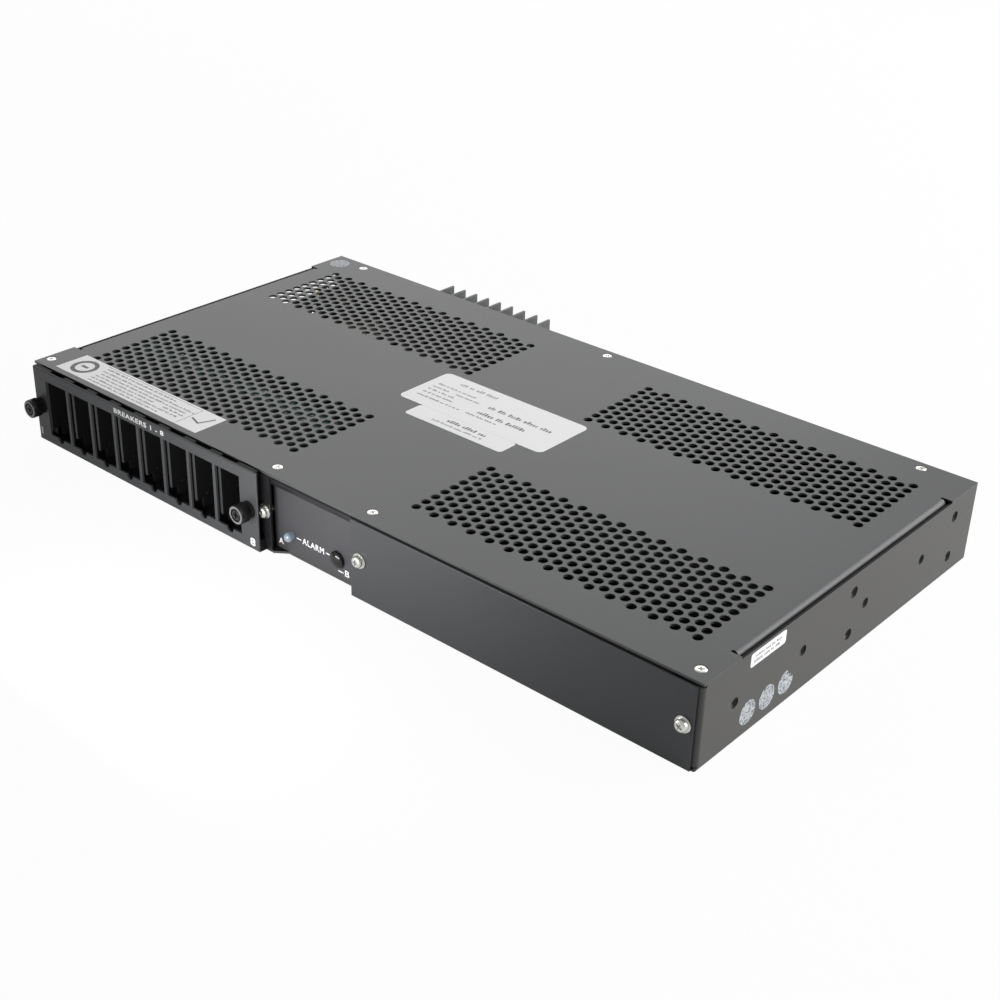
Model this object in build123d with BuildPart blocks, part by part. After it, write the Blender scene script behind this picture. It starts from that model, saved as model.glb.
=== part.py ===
from build123d import *
import os

os.makedirs("parts", exist_ok=True)

# A rack-mount dc power distribution unit: eight plug-in breaker slots behind a
# removable bezel, an alarm panel, a spare bay behind a blank panel and an output
# terminal block at the rear. Millimetres. X runs right along the front, Y runs to
# the rear and Z is up. Lengths below are counted from the cover's front edge and
# from the underside, and places along X from the side wall that they lie nearer to
# or belong with. The pieces are written out with the middle of the underside
# as their shared origin.

# Overall sizes of the folded steel box
width = 430.0
depth = 224.8
height = 42.4
sheet = 1.2
bend = 1.8
clear = 0.3

# Breaker slots and the bezel windows in front of them
slot_count = 8
slot_pitch = 19.4
slots_mid = 91.5 - width / 2
bar_width = 2.0
window_low = 5.6
window_high = 36.7
notch_radius = 2.5
bezel_reach = 4.6
bezel_margin_left = 10.5
bezel_margin_right = 12.1
cage_length = 58.0
divider_thickness = 1.7
divider_setback = 3.4
guide_proud = 0.7
guide_height = 1.4

# Thumbscrews that hold the bezel
thumb_radius = 5.0
thumb_length = 5.6
thumb_height = 21.3
thumb_inset_left = 5.2
thumb_inset_right = 6.0
thumb_shank = 2.0
ferrule_radius = 4.5
ferrule_length = 2.2
flute_count = 20

# Strip beside the slots, alarm recess and blank panel
strip_width = 16.0
recess_depth = 4.5
recess_left = 181.8 - width / 2
recess_right = 239.0 - width / 2
blank_inset = 2.4
blank_low = 0.0
blank_high = 40.5
front_screw_height = 21.0
front_screw_head = 3.0
front_washer = 3.8
front_screw_left = 6.0
front_screw_right = 4.7
lamp_radius = 2.5
lamp_reach = 4.2
lamp_x = 193.4 - width / 2
plug_radius = 4.4
plug_reach = 3.0
plug_x = 224.8 - width / 2
lamp_height = 10.8

# Folded edges
flange = 13.0
cover_inset = 2.4
cover_end = 25.4
cover_drop = 6.0
relief = 1.5

# Perforation: 60 degree staggered holes in four zones
hole_pitch = 12.7
hole_across = 9.0
hole_columns = 8
hole_rows = 5
zone_x = width / 2 - 97.6
zone_y = 62.3

# Fasteners
cover_screw_head = 2.6
cover_screw_shank = 1.5
cover_screw_length = 5.0
screw_front = 7.6
screw_rear = 5.5
screw_front_xs = (4.2 - width / 2, 182.0 - width / 2, 244.8 - width / 2, width / 2 - 7.1)
screw_rear_xs = (24.8 - width / 2, 213.3 - width / 2, width / 2 - 26.8)

# Side wall fixing holes
row_hole = 2.5
row_pitch = 50.8
row_first = 23.6
row_count = 4
row_height = 21.2
pair_hole = 2.75
pair_first = 113.4
pair_second = 205.0
pair_spread = 21.6

# Cable entry in the left wall
entry_front = 160.0
entry_rear = 219.0
entry_low = 23.5
entry_high = 35.0

# Output terminal block
terminal_pitch = 9.35
block_mid = 115.75 - width / 2
barrier_thickness = 1.3
barrier_top = 39.3
block_low = 14.0
block_high = 24.0
block_front = 208.0
block_rear = 242.6
tab_thickness = 1.2
tab_width = 7.0
strap_thickness = 1.5
strap_width = 5.5
terminal_head = 3.1
terminal_head_height = 2.3
output_screw_y = 234.0
strap_screw_y = 214.0

# Contacts, bus bars and input studs
carrier_thickness = 5.8
contact_radius = 3.1
contact_bore = 2.0
contact_length = 9.4
line_height = 12.0
load_height = 27.0
board_thickness = 1.6
bar_thickness = 3.0
bar_height = 12.0
stud_x = (18.0 - width / 2, 38.0 - width / 2)
stud_y = 191.0
stud_radius = 3.0
stud_top = 35.0
input_block_size = (44.0, 28.0)
input_block_high = 18.0
nut_across = 10.0
nut_height = 5.0
washer_radius = 6.5
washer_thickness = 1.5

# Earth studs and alarm connector in the rear wall
earth_x = width / 2 - 35.0
earth_pitch = 15.9
earth_height = 14.0
earth_radius = 2.9
earth_reach = 15.0
connector_x = 205.0 - width / 2
connector_width = 20.0
connector_low = 8.0
connector_high = 18.0
connector_reach = 6.0

# Heights and places that follow from the sizes above
wall_top = height - sheet
inner_x = width / 2 - sheet
slots_span = slot_count * slot_pitch
window_width = slot_pitch - bar_width
window_left = slots_mid - slots_span / 2 + bar_width / 2
window_right = slots_mid + slots_span / 2 - bar_width / 2
window_middle = (window_low + window_high) / 2
slot_xs = [slots_mid + (i + 0.5) * slot_pitch - slots_span / 2 for i in range(slot_count)]
bar_xs = [slots_mid + i * slot_pitch - slots_span / 2 for i in range(slot_count)]
bezel_front = -bezel_reach
bezel_left = window_left - bezel_margin_left
bezel_right = window_right + bezel_margin_right
bezel_mid = (bezel_left + bezel_right) / 2
thumb_xs = (window_left - thumb_inset_left, window_right + thumb_inset_right)
divider_front = bezel_front + divider_setback
bay_left = bar_xs[-1] + slot_pitch - divider_thickness / 2
strip_right = bay_left + strip_width
cage_left = bar_xs[0] - divider_thickness / 2
cage_mid = (cage_left + bay_left) / 2
floor_top = 2 * sheet
roof_low = window_high + 0.9
side_flange = width / 2 + cage_left - clear
tab_left = recess_right + 0.4
blank_left = recess_right
blank_right = width / 2 - blank_inset
blank_mid = (blank_left + blank_right) / 2
front_screws_at = (
    (strip_right - front_washer - 0.1, 0.0),
    (blank_left + front_screw_left, -sheet),
    (blank_right - front_screw_right, -sheet),
)
rail_left = bay_left + sheet
carrier_rear = cage_length + carrier_thickness
board_rear = carrier_rear + board_thickness
contact_rear = carrier_rear + board_thickness + 0.6
strap_low = block_high + tab_thickness
terminal_xs = [block_mid + (i - (slot_count - 1) / 2) * terminal_pitch for i in range(slot_count)]
barrier_xs = [block_mid + (i - slot_count / 2) * terminal_pitch for i in range(slot_count + 1)]
block_width = slot_count * terminal_pitch + barrier_thickness
insulator_high = strap_low - 1.6
insulator_size = (113.0, 126.0)
insulator_at = (106.5 - width / 2, 135.0)
input_block_front = stud_y - input_block_size[1] / 2


def facing_front(y):
    """Sketch plane at depth y, seen from the front: x right, y up."""
    return Plane(origin=(0, y, 0), x_dir=(1, 0, 0), z_dir=(0, -1, 0))


def facing_right(x):
    """Sketch plane at x, seen from the right: x to the rear, y up."""
    return Plane(origin=(x, 0, 0), x_dir=(0, 1, 0), z_dir=(1, 0, 0))


def save(piece, name):
    """Label a finished piece and write it out, with the shared origin mid-depth."""
    placed = Pos(0, -depth / 2, 0) * piece
    placed.label = name
    export_step(placed, "parts/" + name + ".step")


def plate(x0, x1, y0, y1):
    """Add a rectangle between two corners to the sketch in hand."""
    with Locations(((x0 + x1) / 2, (y0 + y1) / 2)):
        Rectangle(x1 - x0, y1 - y0)


# Chassis: one folded tray with front flanges, rear lip, tabs and cut-outs
with BuildPart() as chassis:
    with BuildSketch():
        plate(-width / 2, width / 2, 0, depth)
    extrude(amount=wall_top)
    under = chassis.edges().group_by(Axis.Z)[0]
    fillet(under.filter_by(Axis.Y) + under.filter_by(Axis.X).sort_by(Axis.Y)[-1:], radius=bend)
    open_top = chassis.faces().sort_by(Axis.Z)[-1]
    open_front = chassis.faces().sort_by(Axis.Y)[0]
    offset(amount=-sheet, openings=[open_top, open_front])
    # Front flanges of the side walls, each with a rounded bend and a relief below
    with BuildSketch(facing_front(-1)):
        for side in (-1, 1):
            with Locations((side * width / 2, (bend + clear + wall_top) / 2)):
                Rectangle(4 * sheet, wall_top - bend - clear)
    extrude(amount=-1 - bend, mode=Mode.SUBTRACT)
    with BuildSketch(Plane.XY.offset(bend + clear)) as flange_profile:
        for side in (-1, 1):
            with BuildLine():
                Polyline(
                    (side * (width / 2 - side_flange), 0), (side * width / 2, 0), (side * width / 2, 2 * bend),
                    (side * inner_x, 2 * bend), (side * inner_x, sheet),
                    (side * (width / 2 - side_flange), sheet), (side * (width / 2 - side_flange), 0),
                )
            make_face()
        front_points = flange_profile.vertices().group_by(Axis.Y)[0].sort_by(Axis.X)
        fillet([front_points[0], front_points[-1]], radius=bend)
    extrude(amount=wall_top - sheet - bend - clear)
    # Corner tabs and rear lip that take the cover screws
    with BuildSketch(Plane.XY.offset(wall_top - sheet)):
        plate(-inner_x - sheet / 2, -inner_x + flange, bend + clear, screw_front + flange / 2)
        plate(inner_x - flange, inner_x + sheet / 2, bend + clear, screw_front + flange / 2)
        plate(-inner_x + clear, inner_x - clear, depth - flange, depth - sheet / 2)
    extrude(amount=sheet)
    # Base edge: recess under the alarm panel, and tabs behind strip and blank panel
    with BuildSketch():
        plate(bay_left, strip_right, -1, sheet)
        with BuildLine():
            Polyline(
                (strip_right + 1.6, -1), (strip_right + 1.6, 0.4), (strip_right + 7, recess_depth),
                (recess_right, recess_depth), (recess_right, -1), (strip_right + 1.6, -1),
            )
        make_face()
    extrude(amount=bend, mode=Mode.SUBTRACT)
    with BuildSketch(facing_front(sheet)):
        plate(bay_left + sheet + clear, recess_left - clear, 0, blank_high - 10)
    extrude(amount=-sheet)
    with BuildSketch(facing_front(0)):
        plate(tab_left, tab_left + flange + 2, 0, blank_high - 10)
    extrude(amount=-sheet)
    # Notch in the rear wall and lip for the output block, window for the connector
    with BuildSketch(facing_front(depth - flange - 1)):
        plate(block_mid - block_width / 2 - 1.2, block_mid + block_width / 2 + 1.2, block_low - 1, height)
    extrude(amount=-flange - 2, mode=Mode.SUBTRACT)
    with BuildSketch(facing_front(depth - 2 * sheet)):
        plate(
            connector_x - connector_width / 2 - clear, connector_x + connector_width / 2 + clear,
            connector_low - clear, connector_high + clear,
        )
        with Locations((earth_x, earth_height), (earth_x + earth_pitch, earth_height)):
            Circle(earth_radius)
    extrude(amount=-3 * sheet, mode=Mode.SUBTRACT)
    # Cable entry in the left wall
    with BuildSketch(facing_right(-inner_x + sheet)):
        with Locations(((entry_front + entry_rear) / 2, (entry_low + entry_high) / 2)):
            RectangleRounded(entry_rear - entry_front, entry_high - entry_low, 2)
    extrude(amount=-3 * sheet, mode=Mode.SUBTRACT)
    # Fixing holes for rack brackets: full pattern on the right wall
    with BuildSketch(facing_right(inner_x - sheet)):
        with Locations(*[(row_first + i * row_pitch, row_height) for i in range(row_count)]):
            Circle(row_hole)
        with Locations(*[(y, row_height + s * pair_spread / 2) for y in (pair_first, pair_second) for s in (-1, 1)]):
            Circle(pair_hole)
    extrude(amount=3 * sheet, mode=Mode.SUBTRACT)
    # The left wall has those holes of the pattern that clear its cable entry
    with BuildSketch(facing_right(-inner_x + sheet)):
        with Locations(*[(row_first + i * row_pitch, row_height) for i in range(row_count - 1)]):
            Circle(row_hole)
        with Locations(*[(pair_first, row_height + s * pair_spread / 2) for s in (-1, 1)]):
            Circle(pair_hole)
        with Locations((pair_second, row_height - pair_spread / 2)):
            Circle(pair_hole)
    extrude(amount=-3 * sheet, mode=Mode.SUBTRACT)
    # Threaded holes for thumbscrew, front screws and cover screws
    with BuildSketch(facing_front(-1)):
        with Locations(*[(x, thumb_height) for x in thumb_xs]):
            Circle(thumb_shank + clear)
        with Locations(*[(x, front_screw_height) for x, y in front_screws_at]):
            Circle(cover_screw_shank)
    extrude(amount=-4 * sheet, mode=Mode.SUBTRACT)
    with BuildSketch(Plane.XY.offset(wall_top - 2 * sheet)):
        with Locations((screw_front_xs[0], screw_front), (screw_front_xs[-1], screw_front)):
            Circle(cover_screw_shank)
        with Locations(*[(x, depth - screw_rear) for x in screw_rear_xs]):
            Circle(cover_screw_shank)
    extrude(amount=3 * sheet, mode=Mode.SUBTRACT)
save(chassis.part, "chassis")

# Top cover: wide over the corners, narrow between the walls, with folded edges
cover_half = width / 2 - cover_inset
with BuildPart() as top_cover:
    with BuildSketch(Plane.XY.offset(wall_top)):
        plate(-width / 2, width / 2, 0, depth)
    extrude(amount=sheet)
    with BuildSketch(Plane.XY.offset(wall_top - cover_drop)):
        for side in (-1, 1):
            outer = side * width / 2
            inner = side * cover_half
            plate(min(outer, inner), max(outer, inner), cover_end, depth - cover_end)
    extrude(amount=cover_drop + sheet, mode=Mode.SUBTRACT)
    with BuildSketch(Plane.XY.offset(wall_top - cover_drop)):
        for side in (-1, 1):
            outer = side * cover_half
            inner = side * (cover_half - sheet)
            plate(min(outer, inner), max(outer, inner), cover_end + relief, depth - cover_end - relief)
    extrude(amount=cover_drop + sheet / 2)
    rims = top_cover.edges().filter_by(Axis.Y).group_by(Axis.Z)[-1]
    fillet(rims.sort_by(Edge.length)[-2:], radius=sheet * 0.9)
    # Perforation in four zones, tall columns of holes between short ones
    column_step = hole_pitch * 3 ** 0.5
    with BuildSketch(Plane.XY.offset(wall_top - sheet)):
        for x in (-zone_x, zone_x):
            for y in (depth / 2 - zone_y, depth / 2 + zone_y):
                with Locations((x, y)):
                    with GridLocations(column_step, hole_pitch, hole_columns, hole_rows):
                        RegularPolygon(hole_across / 2, 6, major_radius=False)
                    with GridLocations(column_step, hole_pitch, hole_columns - 1, hole_rows - 1):
                        RegularPolygon(hole_across / 2, 6, major_radius=False)
    extrude(amount=3 * sheet, mode=Mode.SUBTRACT)
    with Locations(Plane.XY.offset(height)):
        with Locations(
            *[(x, screw_front) for x in screw_front_xs], *[(x, depth - screw_rear) for x in screw_rear_xs]
        ):
            CounterSinkHole(cover_screw_shank + 0.2, cover_screw_head + 0.05)
save(top_cover.part, "top_cover")

# Flat-head screws of the cover, one group
with BuildPart() as cover_screws:
    with Locations(
        *[(x, screw_front, height) for x in screw_front_xs],
        *[(x, depth - screw_rear, height) for x in screw_rear_xs],
    ):
        Cone(cover_screw_shank, cover_screw_head, sheet, align=(Align.CENTER, Align.CENTER, Align.MAX))
        Cylinder(cover_screw_shank - 0.1, cover_screw_length, align=(Align.CENTER, Align.CENTER, Align.MAX))
        Box(3.0, 0.9, 0.8, align=(Align.CENTER, Align.CENTER, Align.MAX), mode=Mode.SUBTRACT)
        Box(0.9, 3.0, 0.8, align=(Align.CENTER, Align.CENTER, Align.MAX), mode=Mode.SUBTRACT)
save(cover_screws.part, "cover_screws")

# Front rail: an angle under the cover's front edge
rail_right = inner_x - flange - clear
with BuildPart() as front_rail:
    with BuildSketch(Plane.XY.offset(wall_top - sheet)):
        plate(rail_left, rail_right, 0, screw_front + flange / 2)
    extrude(amount=sheet)
    with BuildSketch(facing_front(0)):
        plate(tab_left, width / 2 - side_flange - clear, blank_high - 9.5, wall_top - sheet / 2)
    extrude(amount=-sheet)
    with BuildSketch(Plane.XY.offset(wall_top - 2 * sheet)):
        with Locations(*[(x, screw_front) for x in screw_front_xs[1:3]]):
            Circle(cover_screw_shank)
    extrude(amount=3 * sheet, mode=Mode.SUBTRACT)
save(front_rail.part, "front_rail")

# Bezel: a shallow folded tray with eight windows and a finger notch in each
with BuildPart() as bezel:
    with BuildSketch(facing_front(bezel_front)):
        plate(bezel_left, bezel_right, 0, height)
    extrude(amount=-bezel_reach)
    fillet(bezel.edges().group_by(Axis.Y)[0], radius=sheet * 0.6)
    offset(amount=-sheet, openings=bezel.faces().sort_by(Axis.Y)[-1])
    with BuildSketch(facing_front(bezel_front)):
        for x in slot_xs:
            plate(x - window_width / 2, x + window_width / 2, window_low, window_high)
            with Locations((x, window_low)):
                Circle(notch_radius)
        with Locations(*[(x, thumb_height) for x in thumb_xs]):
            Circle(ferrule_radius - 1.2)
    extrude(amount=-2 * sheet, mode=Mode.SUBTRACT)
    # The top return is short and stays only as tabs at the bars and both ends
    with BuildSketch(Plane.XY.offset(wall_top - sheet)):
        plate(bezel_left - 1, bezel_right + 1, bezel_front + 3.2, 1)
        for x in slot_xs:
            plate(x - slot_pitch * 0.3, x + slot_pitch * 0.3, bezel_front + sheet, 1)
    extrude(amount=3 * sheet, mode=Mode.SUBTRACT)
    # The right return is cut away above its foot, beside the screw
    with BuildSketch(facing_front(bezel_front + sheet)):
        plate(bezel_right - 1.5 * sheet, bezel_right + 1, height * 0.15, height + 1)
    extrude(amount=-bezel_reach, mode=Mode.SUBTRACT)
save(bezel.part, "bezel")

# Ferrules: collars pressed into the bezel, which keep the thumbscrews captive
with BuildPart() as ferrules:
    with BuildSketch(facing_front(bezel_front)):
        with Locations(*[(x, thumb_height) for x in thumb_xs]):
            Circle(ferrule_radius)
            Circle(thumb_shank + clear, mode=Mode.SUBTRACT)
    extrude(amount=ferrule_length)
    with BuildSketch(facing_front(bezel_front)):
        with Locations(*[(x, thumb_height) for x in thumb_xs]):
            Circle(ferrule_radius - 1.2)
            Circle(thumb_shank + clear, mode=Mode.SUBTRACT)
    extrude(amount=-sheet)
save(ferrules.part, "thumbscrew_ferrules")


def make_thumbscrew(x, name):
    """A fluted thumbscrew with a grooved face, a cross recess and a long shank."""
    seat = bezel_front - ferrule_length - clear
    face = seat - thumb_length
    with BuildPart() as screw:
        with BuildSketch(facing_front(seat)):
            with Locations((x, thumb_height)):
                Circle(thumb_radius)
                with PolarLocations(thumb_radius, flute_count):
                    Rectangle(0.8, 0.8, rotation=45, mode=Mode.SUBTRACT)
        extrude(amount=thumb_length)
        with BuildSketch(facing_front(seat)):
            with Locations((x, thumb_height)):
                Circle(thumb_shank)
        extrude(amount=seat - 3 * sheet)
        with BuildSketch(facing_front(face)):
            with Locations((x, thumb_height)):
                Circle(thumb_radius * 0.7)
                Circle(thumb_radius * 0.55, mode=Mode.SUBTRACT)
        extrude(amount=-0.7, mode=Mode.SUBTRACT)
        with BuildSketch(facing_front(face)):
            with Locations((x, thumb_height)):
                Rectangle(3.4, 1.0)
                Rectangle(1.0, 3.4)
        extrude(amount=-1.6, mode=Mode.SUBTRACT)
    save(screw.part, name)


make_thumbscrew(thumb_xs[0], "thumbscrew_left")
make_thumbscrew(thumb_xs[1], "thumbscrew_right")

# Bay wall: web beside the slots, front strip and foot
with BuildPart() as bay_wall:
    with BuildSketch(facing_right(bay_left)):
        plate(0, contact_rear, sheet, wall_top - sheet)
    extrude(amount=sheet)
    with BuildSketch(facing_front(0)):
        plate(bay_left, strip_right, 0, wall_top - sheet)
    extrude(amount=-sheet)
    with BuildSketch(Plane.XY.offset(sheet)):
        plate(bay_left, bay_left + flange, recess_depth + 3 * sheet + 4, contact_rear)
    extrude(amount=sheet)
    with BuildSketch(facing_front(0)):
        with Locations((thumb_xs[1], thumb_height)):
            Circle(thumb_shank + clear)
        with Locations((front_screws_at[0][0], front_screw_height)):
            Circle(cover_screw_shank + 0.2)
    extrude(amount=-sheet, mode=Mode.SUBTRACT)
save(bay_wall.part, "bay_wall")

# Slot floor with a short lip in the right half of each slot
with BuildPart() as slot_floor:
    with BuildSketch(Plane.XY.offset(sheet)):
        plate(cage_left, bay_left, divider_front, cage_length)
    extrude(amount=sheet)
    with BuildSketch(facing_front(divider_front)):
        for x in slot_xs:
            plate(x + notch_radius, x + window_width / 2 - 0.6, sheet, window_low - 1.6)
    extrude(amount=-sheet * 0.8)
save(slot_floor.part, "slot_floor")

# Slot roof with an upturned front edge
with BuildPart() as slot_roof:
    with BuildSketch(Plane.XY.offset(roof_low)):
        plate(cage_left, bay_left, divider_front, cage_length)
    extrude(amount=sheet)
    with BuildSketch(facing_front(divider_front)):
        plate(cage_left, bay_left, roof_low, wall_top - 0.8)
    extrude(amount=-sheet)
save(slot_roof.part, "slot_roof")

# Slot dividers with guide ribs, the first one also closes the cage on the left
for index, x in enumerate(bar_xs):
    start = divider_front if index else bezel_front + sheet + 0.2
    with BuildPart() as divider:
        with BuildSketch(facing_right(x - divider_thickness / 2)):
            plate(start, cage_length, floor_top, roof_low)
        extrude(amount=divider_thickness)
        with BuildSketch(facing_right(x - divider_thickness / 2)):
            plate(start - 1, divider_front + 4, floor_top - 1, floor_top + 5.6)
        extrude(amount=divider_thickness, mode=Mode.SUBTRACT)
        left_rib = guide_proud if index else 0
        with BuildSketch(facing_right(x - divider_thickness / 2 - left_rib)):
            plate(divider_front + 6, cage_length - 8, floor_top + 7, floor_top + 7 + guide_height)
            plate(divider_front + 6, cage_length - 8, roof_low - 4 - guide_height, roof_low - 4)
        extrude(amount=divider_thickness + left_rib + guide_proud)
    save(divider.part, "slot_divider_%d" % (index + 1))

# Contact carrier behind the slots, bored for a line and a load contact in each
with BuildPart() as contact_carrier:
    with BuildSketch(facing_front(cage_length)):
        plate(cage_left, bay_left, sheet, roof_low + sheet)
        for x in slot_xs:
            with Locations((x, line_height), (x, load_height)):
                RegularPolygon(contact_radius, 6, mode=Mode.SUBTRACT)
    extrude(amount=-carrier_thickness)
save(contact_carrier.part, "contact_carrier")


def make_contacts(z, name):
    """Eight hexagonal sockets at one height."""
    with BuildPart() as contacts:
        with BuildSketch(facing_front(contact_rear - contact_length)):
            for x in slot_xs:
                with Locations((x, z)):
                    RegularPolygon(contact_radius, 6)
        extrude(amount=-contact_length)
        with BuildSketch(facing_front(contact_rear - contact_length)):
            for x in slot_xs:
                with Locations((x, z)):
                    RegularPolygon(contact_bore, 8)
        extrude(amount=-contact_length + 2, mode=Mode.SUBTRACT)
    save(contacts.part, name)


make_contacts(line_height, "line_contacts")
make_contacts(load_height, "load_contacts")

# Green board on the back of the carrier
with BuildPart() as backplane_board:
    with BuildSketch(facing_front(carrier_rear)):
        plate(cage_left + 1, bay_left - 1, floor_top + 1, roof_low)
        for x in slot_xs:
            with Locations((x, line_height), (x, load_height)):
                RegularPolygon(contact_radius, 6, mode=Mode.SUBTRACT)
    extrude(amount=-board_thickness)
save(backplane_board.part, "backplane_board")


def make_bus_bar(points, name):
    """A flat bar on edge along a path in plan."""
    with BuildPart() as bar:
        with BuildSketch(Plane.XY.offset(line_height - bar_height / 2)):
            with BuildLine():
                Polyline(*points)
            trace(line_width=bar_thickness)
        extrude(amount=bar_height)
    save(bar.part, name)


bar_y = contact_rear + bar_thickness / 2
half = slot_count // 2
make_bus_bar(
    [
        (slot_xs[half - 1] + contact_radius, bar_y),
        (stud_x[0] - 3, bar_y),
        (stud_x[0] - 3, input_block_front),
    ],
    "input_bar_a",
)
make_bus_bar(
    [
        (slot_xs[-1] + contact_radius, bar_y),
        (slot_xs[half] - contact_radius - 3, bar_y),
        (slot_xs[half] - contact_radius - 3, input_block_front - 28),
        (stud_x[1] + 3, input_block_front - 28),
        (stud_x[1] + 3, input_block_front),
    ],
    "input_bar_b",
)

# Input block with a wall between its two studs
with BuildPart() as input_block:
    with BuildSketch(Plane.XY.offset(sheet)):
        with Locations((sum(stud_x) / 2, stud_y)):
            Rectangle(*input_block_size)
    extrude(amount=input_block_high - sheet)
    with BuildSketch(Plane.XY.offset(input_block_high)):
        with Locations((sum(stud_x) / 2, stud_y)):
            Rectangle(2.0, input_block_size[1])
    extrude(amount=stud_top - input_block_high)
    with BuildSketch(Plane.XY.offset(input_block_high)):
        with Locations(*[(x, stud_y) for x in stud_x]):
            Circle(stud_radius)
    extrude(amount=-nut_height, mode=Mode.SUBTRACT)
save(input_block.part, "input_block")

with BuildPart() as input_studs:
    with BuildSketch(Plane.XY.offset(input_block_high - nut_height)):
        with Locations(*[(x, stud_y) for x in stud_x]):
            Circle(stud_radius)
    extrude(amount=stud_top - input_block_high + nut_height)
save(input_studs.part, "input_studs")

with BuildPart() as input_washers:
    with BuildSketch(Plane.XY.offset(input_block_high)):
        with Locations(*[(x, stud_y) for x in stud_x]):
            Circle(washer_radius)
            Circle(stud_radius + 0.1, mode=Mode.SUBTRACT)
    extrude(amount=washer_thickness)
save(input_washers.part, "input_washers")

with BuildPart() as input_nuts:
    with BuildSketch(Plane.XY.offset(input_block_high + washer_thickness)):
        with Locations(*[(x, stud_y) for x in stud_x]):
            RegularPolygon(nut_across / 2, 6, major_radius=False)
            Circle(stud_radius + 0.1, mode=Mode.SUBTRACT)
    extrude(amount=nut_height)
save(input_nuts.part, "input_nuts")

# Load straps fan in from the slots to the output terminals
for index in range(slot_count):
    with BuildPart() as strap:
        with BuildSketch(Plane.XY.offset(strap_low)):
            with BuildLine():
                Polyline(
                    (slot_xs[index], contact_rear), (slot_xs[index], contact_rear + 16),
                    (terminal_xs[index], block_front - 28), (terminal_xs[index], strap_screw_y + 4),
                )
            trace(line_width=strap_width)
            with Locations((terminal_xs[index], strap_screw_y)):
                RegularPolygon(cover_screw_shank + 0.2, 8, mode=Mode.SUBTRACT)
        extrude(amount=strap_thickness)
    save(strap.part, "load_strap_%d" % (index + 1))

# Ivory insulating board under the straps, on four posts
with BuildPart() as strap_insulator:
    with BuildSketch(Plane.XY.offset(insulator_high - board_thickness)):
        with Locations(insulator_at):
            RectangleRounded(*insulator_size, 3)
    extrude(amount=board_thickness)
save(strap_insulator.part, "strap_insulator")

with BuildPart() as insulator_posts:
    with BuildSketch(Plane.XY.offset(sheet)):
        with Locations(insulator_at):
            with GridLocations(insulator_size[0] - 14, insulator_size[1] - 14, 2, 2):
                RegularPolygon(4, 6)
    extrude(amount=insulator_high - board_thickness - sheet)
save(insulator_posts.part, "insulator_posts")

# Output block: moulded base with nine barriers
with BuildPart() as output_block:
    with BuildSketch(Plane.XY.offset(block_low)):
        plate(block_mid - block_width / 2, block_mid + block_width / 2, block_front, block_rear)
    extrude(amount=block_high - block_low)
    with BuildSketch(Plane.XY.offset(block_high)):
        for x in barrier_xs:
            plate(x - barrier_thickness / 2, x + barrier_thickness / 2, block_front + 2, block_rear)
    extrude(amount=barrier_top - block_high)
save(output_block.part, "output_block")

with BuildPart() as output_tabs:
    with BuildSketch(Plane.XY.offset(block_high)):
        for x in terminal_xs:
            plate(x - tab_width / 2, x + tab_width / 2, block_front + 2.5, block_rear - 2)
    extrude(amount=tab_thickness)
save(output_tabs.part, "output_tabs")


def make_terminal_screws(y, z, name):
    """Eight slotted terminal screws with their heads seated at height z."""
    with BuildPart() as screws:
        for x in terminal_xs:
            with BuildSketch(Plane.XY.offset(z)):
                with Locations((x, y)):
                    Circle(terminal_head)
            extrude(amount=terminal_head_height)
        chamfer(screws.edges().group_by(Axis.Z)[-1], length=0.6)
        with BuildSketch(Plane.XY.offset(z + terminal_head_height)):
            for x in terminal_xs:
                with Locations((x, y)):
                    Rectangle(4.4, 1.0)
        extrude(amount=-1.0, mode=Mode.SUBTRACT)
    save(screws.part, name)


make_terminal_screws(output_screw_y, strap_low, "output_screws")
make_terminal_screws(strap_screw_y, strap_low + strap_thickness, "strap_screws")

# Bracket that carries the output block above the base
bracket_half = block_width / 2 + 8
with BuildPart() as output_bracket:
    with BuildSketch(facing_front(block_front)):
        plate(block_mid - bracket_half, block_mid + bracket_half, sheet, block_low)
        plate(block_mid - bracket_half + sheet, block_mid + bracket_half - sheet, 0, block_low - sheet)
    extrude(amount=-flange)
    with BuildSketch(facing_front(block_front)):
        plate(block_mid - bracket_half + sheet, block_mid + bracket_half - sheet, 0, block_low - sheet)
    extrude(amount=-flange, mode=Mode.SUBTRACT)
    with BuildSketch(Plane.XY.offset(sheet)):
        for side in (-1, 1):
            foot = block_mid + side * (bracket_half + flange / 2 - sheet)
            with Locations((foot, block_front + flange / 2)):
                Rectangle(flange, flange)
    extrude(amount=sheet)
save(output_bracket.part, "output_bracket")

# Alarm panel: recessed face with a foot, a top return and two welded posts
with BuildPart() as alarm_panel:
    with BuildSketch(facing_front(recess_depth)):
        plate(recess_left, recess_right, sheet, wall_top - sheet)
        with Locations((lamp_x, lamp_height)):
            Circle(lamp_radius)
        with Locations((plug_x, lamp_height)):
            Circle(plug_radius - 1)
    extrude(amount=-sheet)
    with BuildSketch(Plane.XY.offset(sheet)):
        plate(recess_left, recess_right, recess_depth, recess_depth + 3 * sheet)
    extrude(amount=sheet)
    with BuildSketch(Plane.XY.offset(wall_top - 2 * sheet)):
        plate(recess_left + 6, recess_right - 1, recess_depth, recess_depth + 2.2 * sheet)
    extrude(amount=sheet)
    with BuildSketch(facing_front(recess_depth)):
        with Locations((lamp_x, lamp_height)):
            Circle(lamp_radius)
        with Locations((plug_x, lamp_height)):
            Circle(plug_radius - 1)
    extrude(amount=-sheet, mode=Mode.SUBTRACT)
    with BuildSketch(facing_front(recess_depth + sheet)):
        with Locations((recess_left + 5, 20), (recess_right - 5, 20)):
            RegularPolygon(2.2, 6)
    extrude(amount=-4)
save(alarm_panel.part, "alarm_panel")

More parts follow.
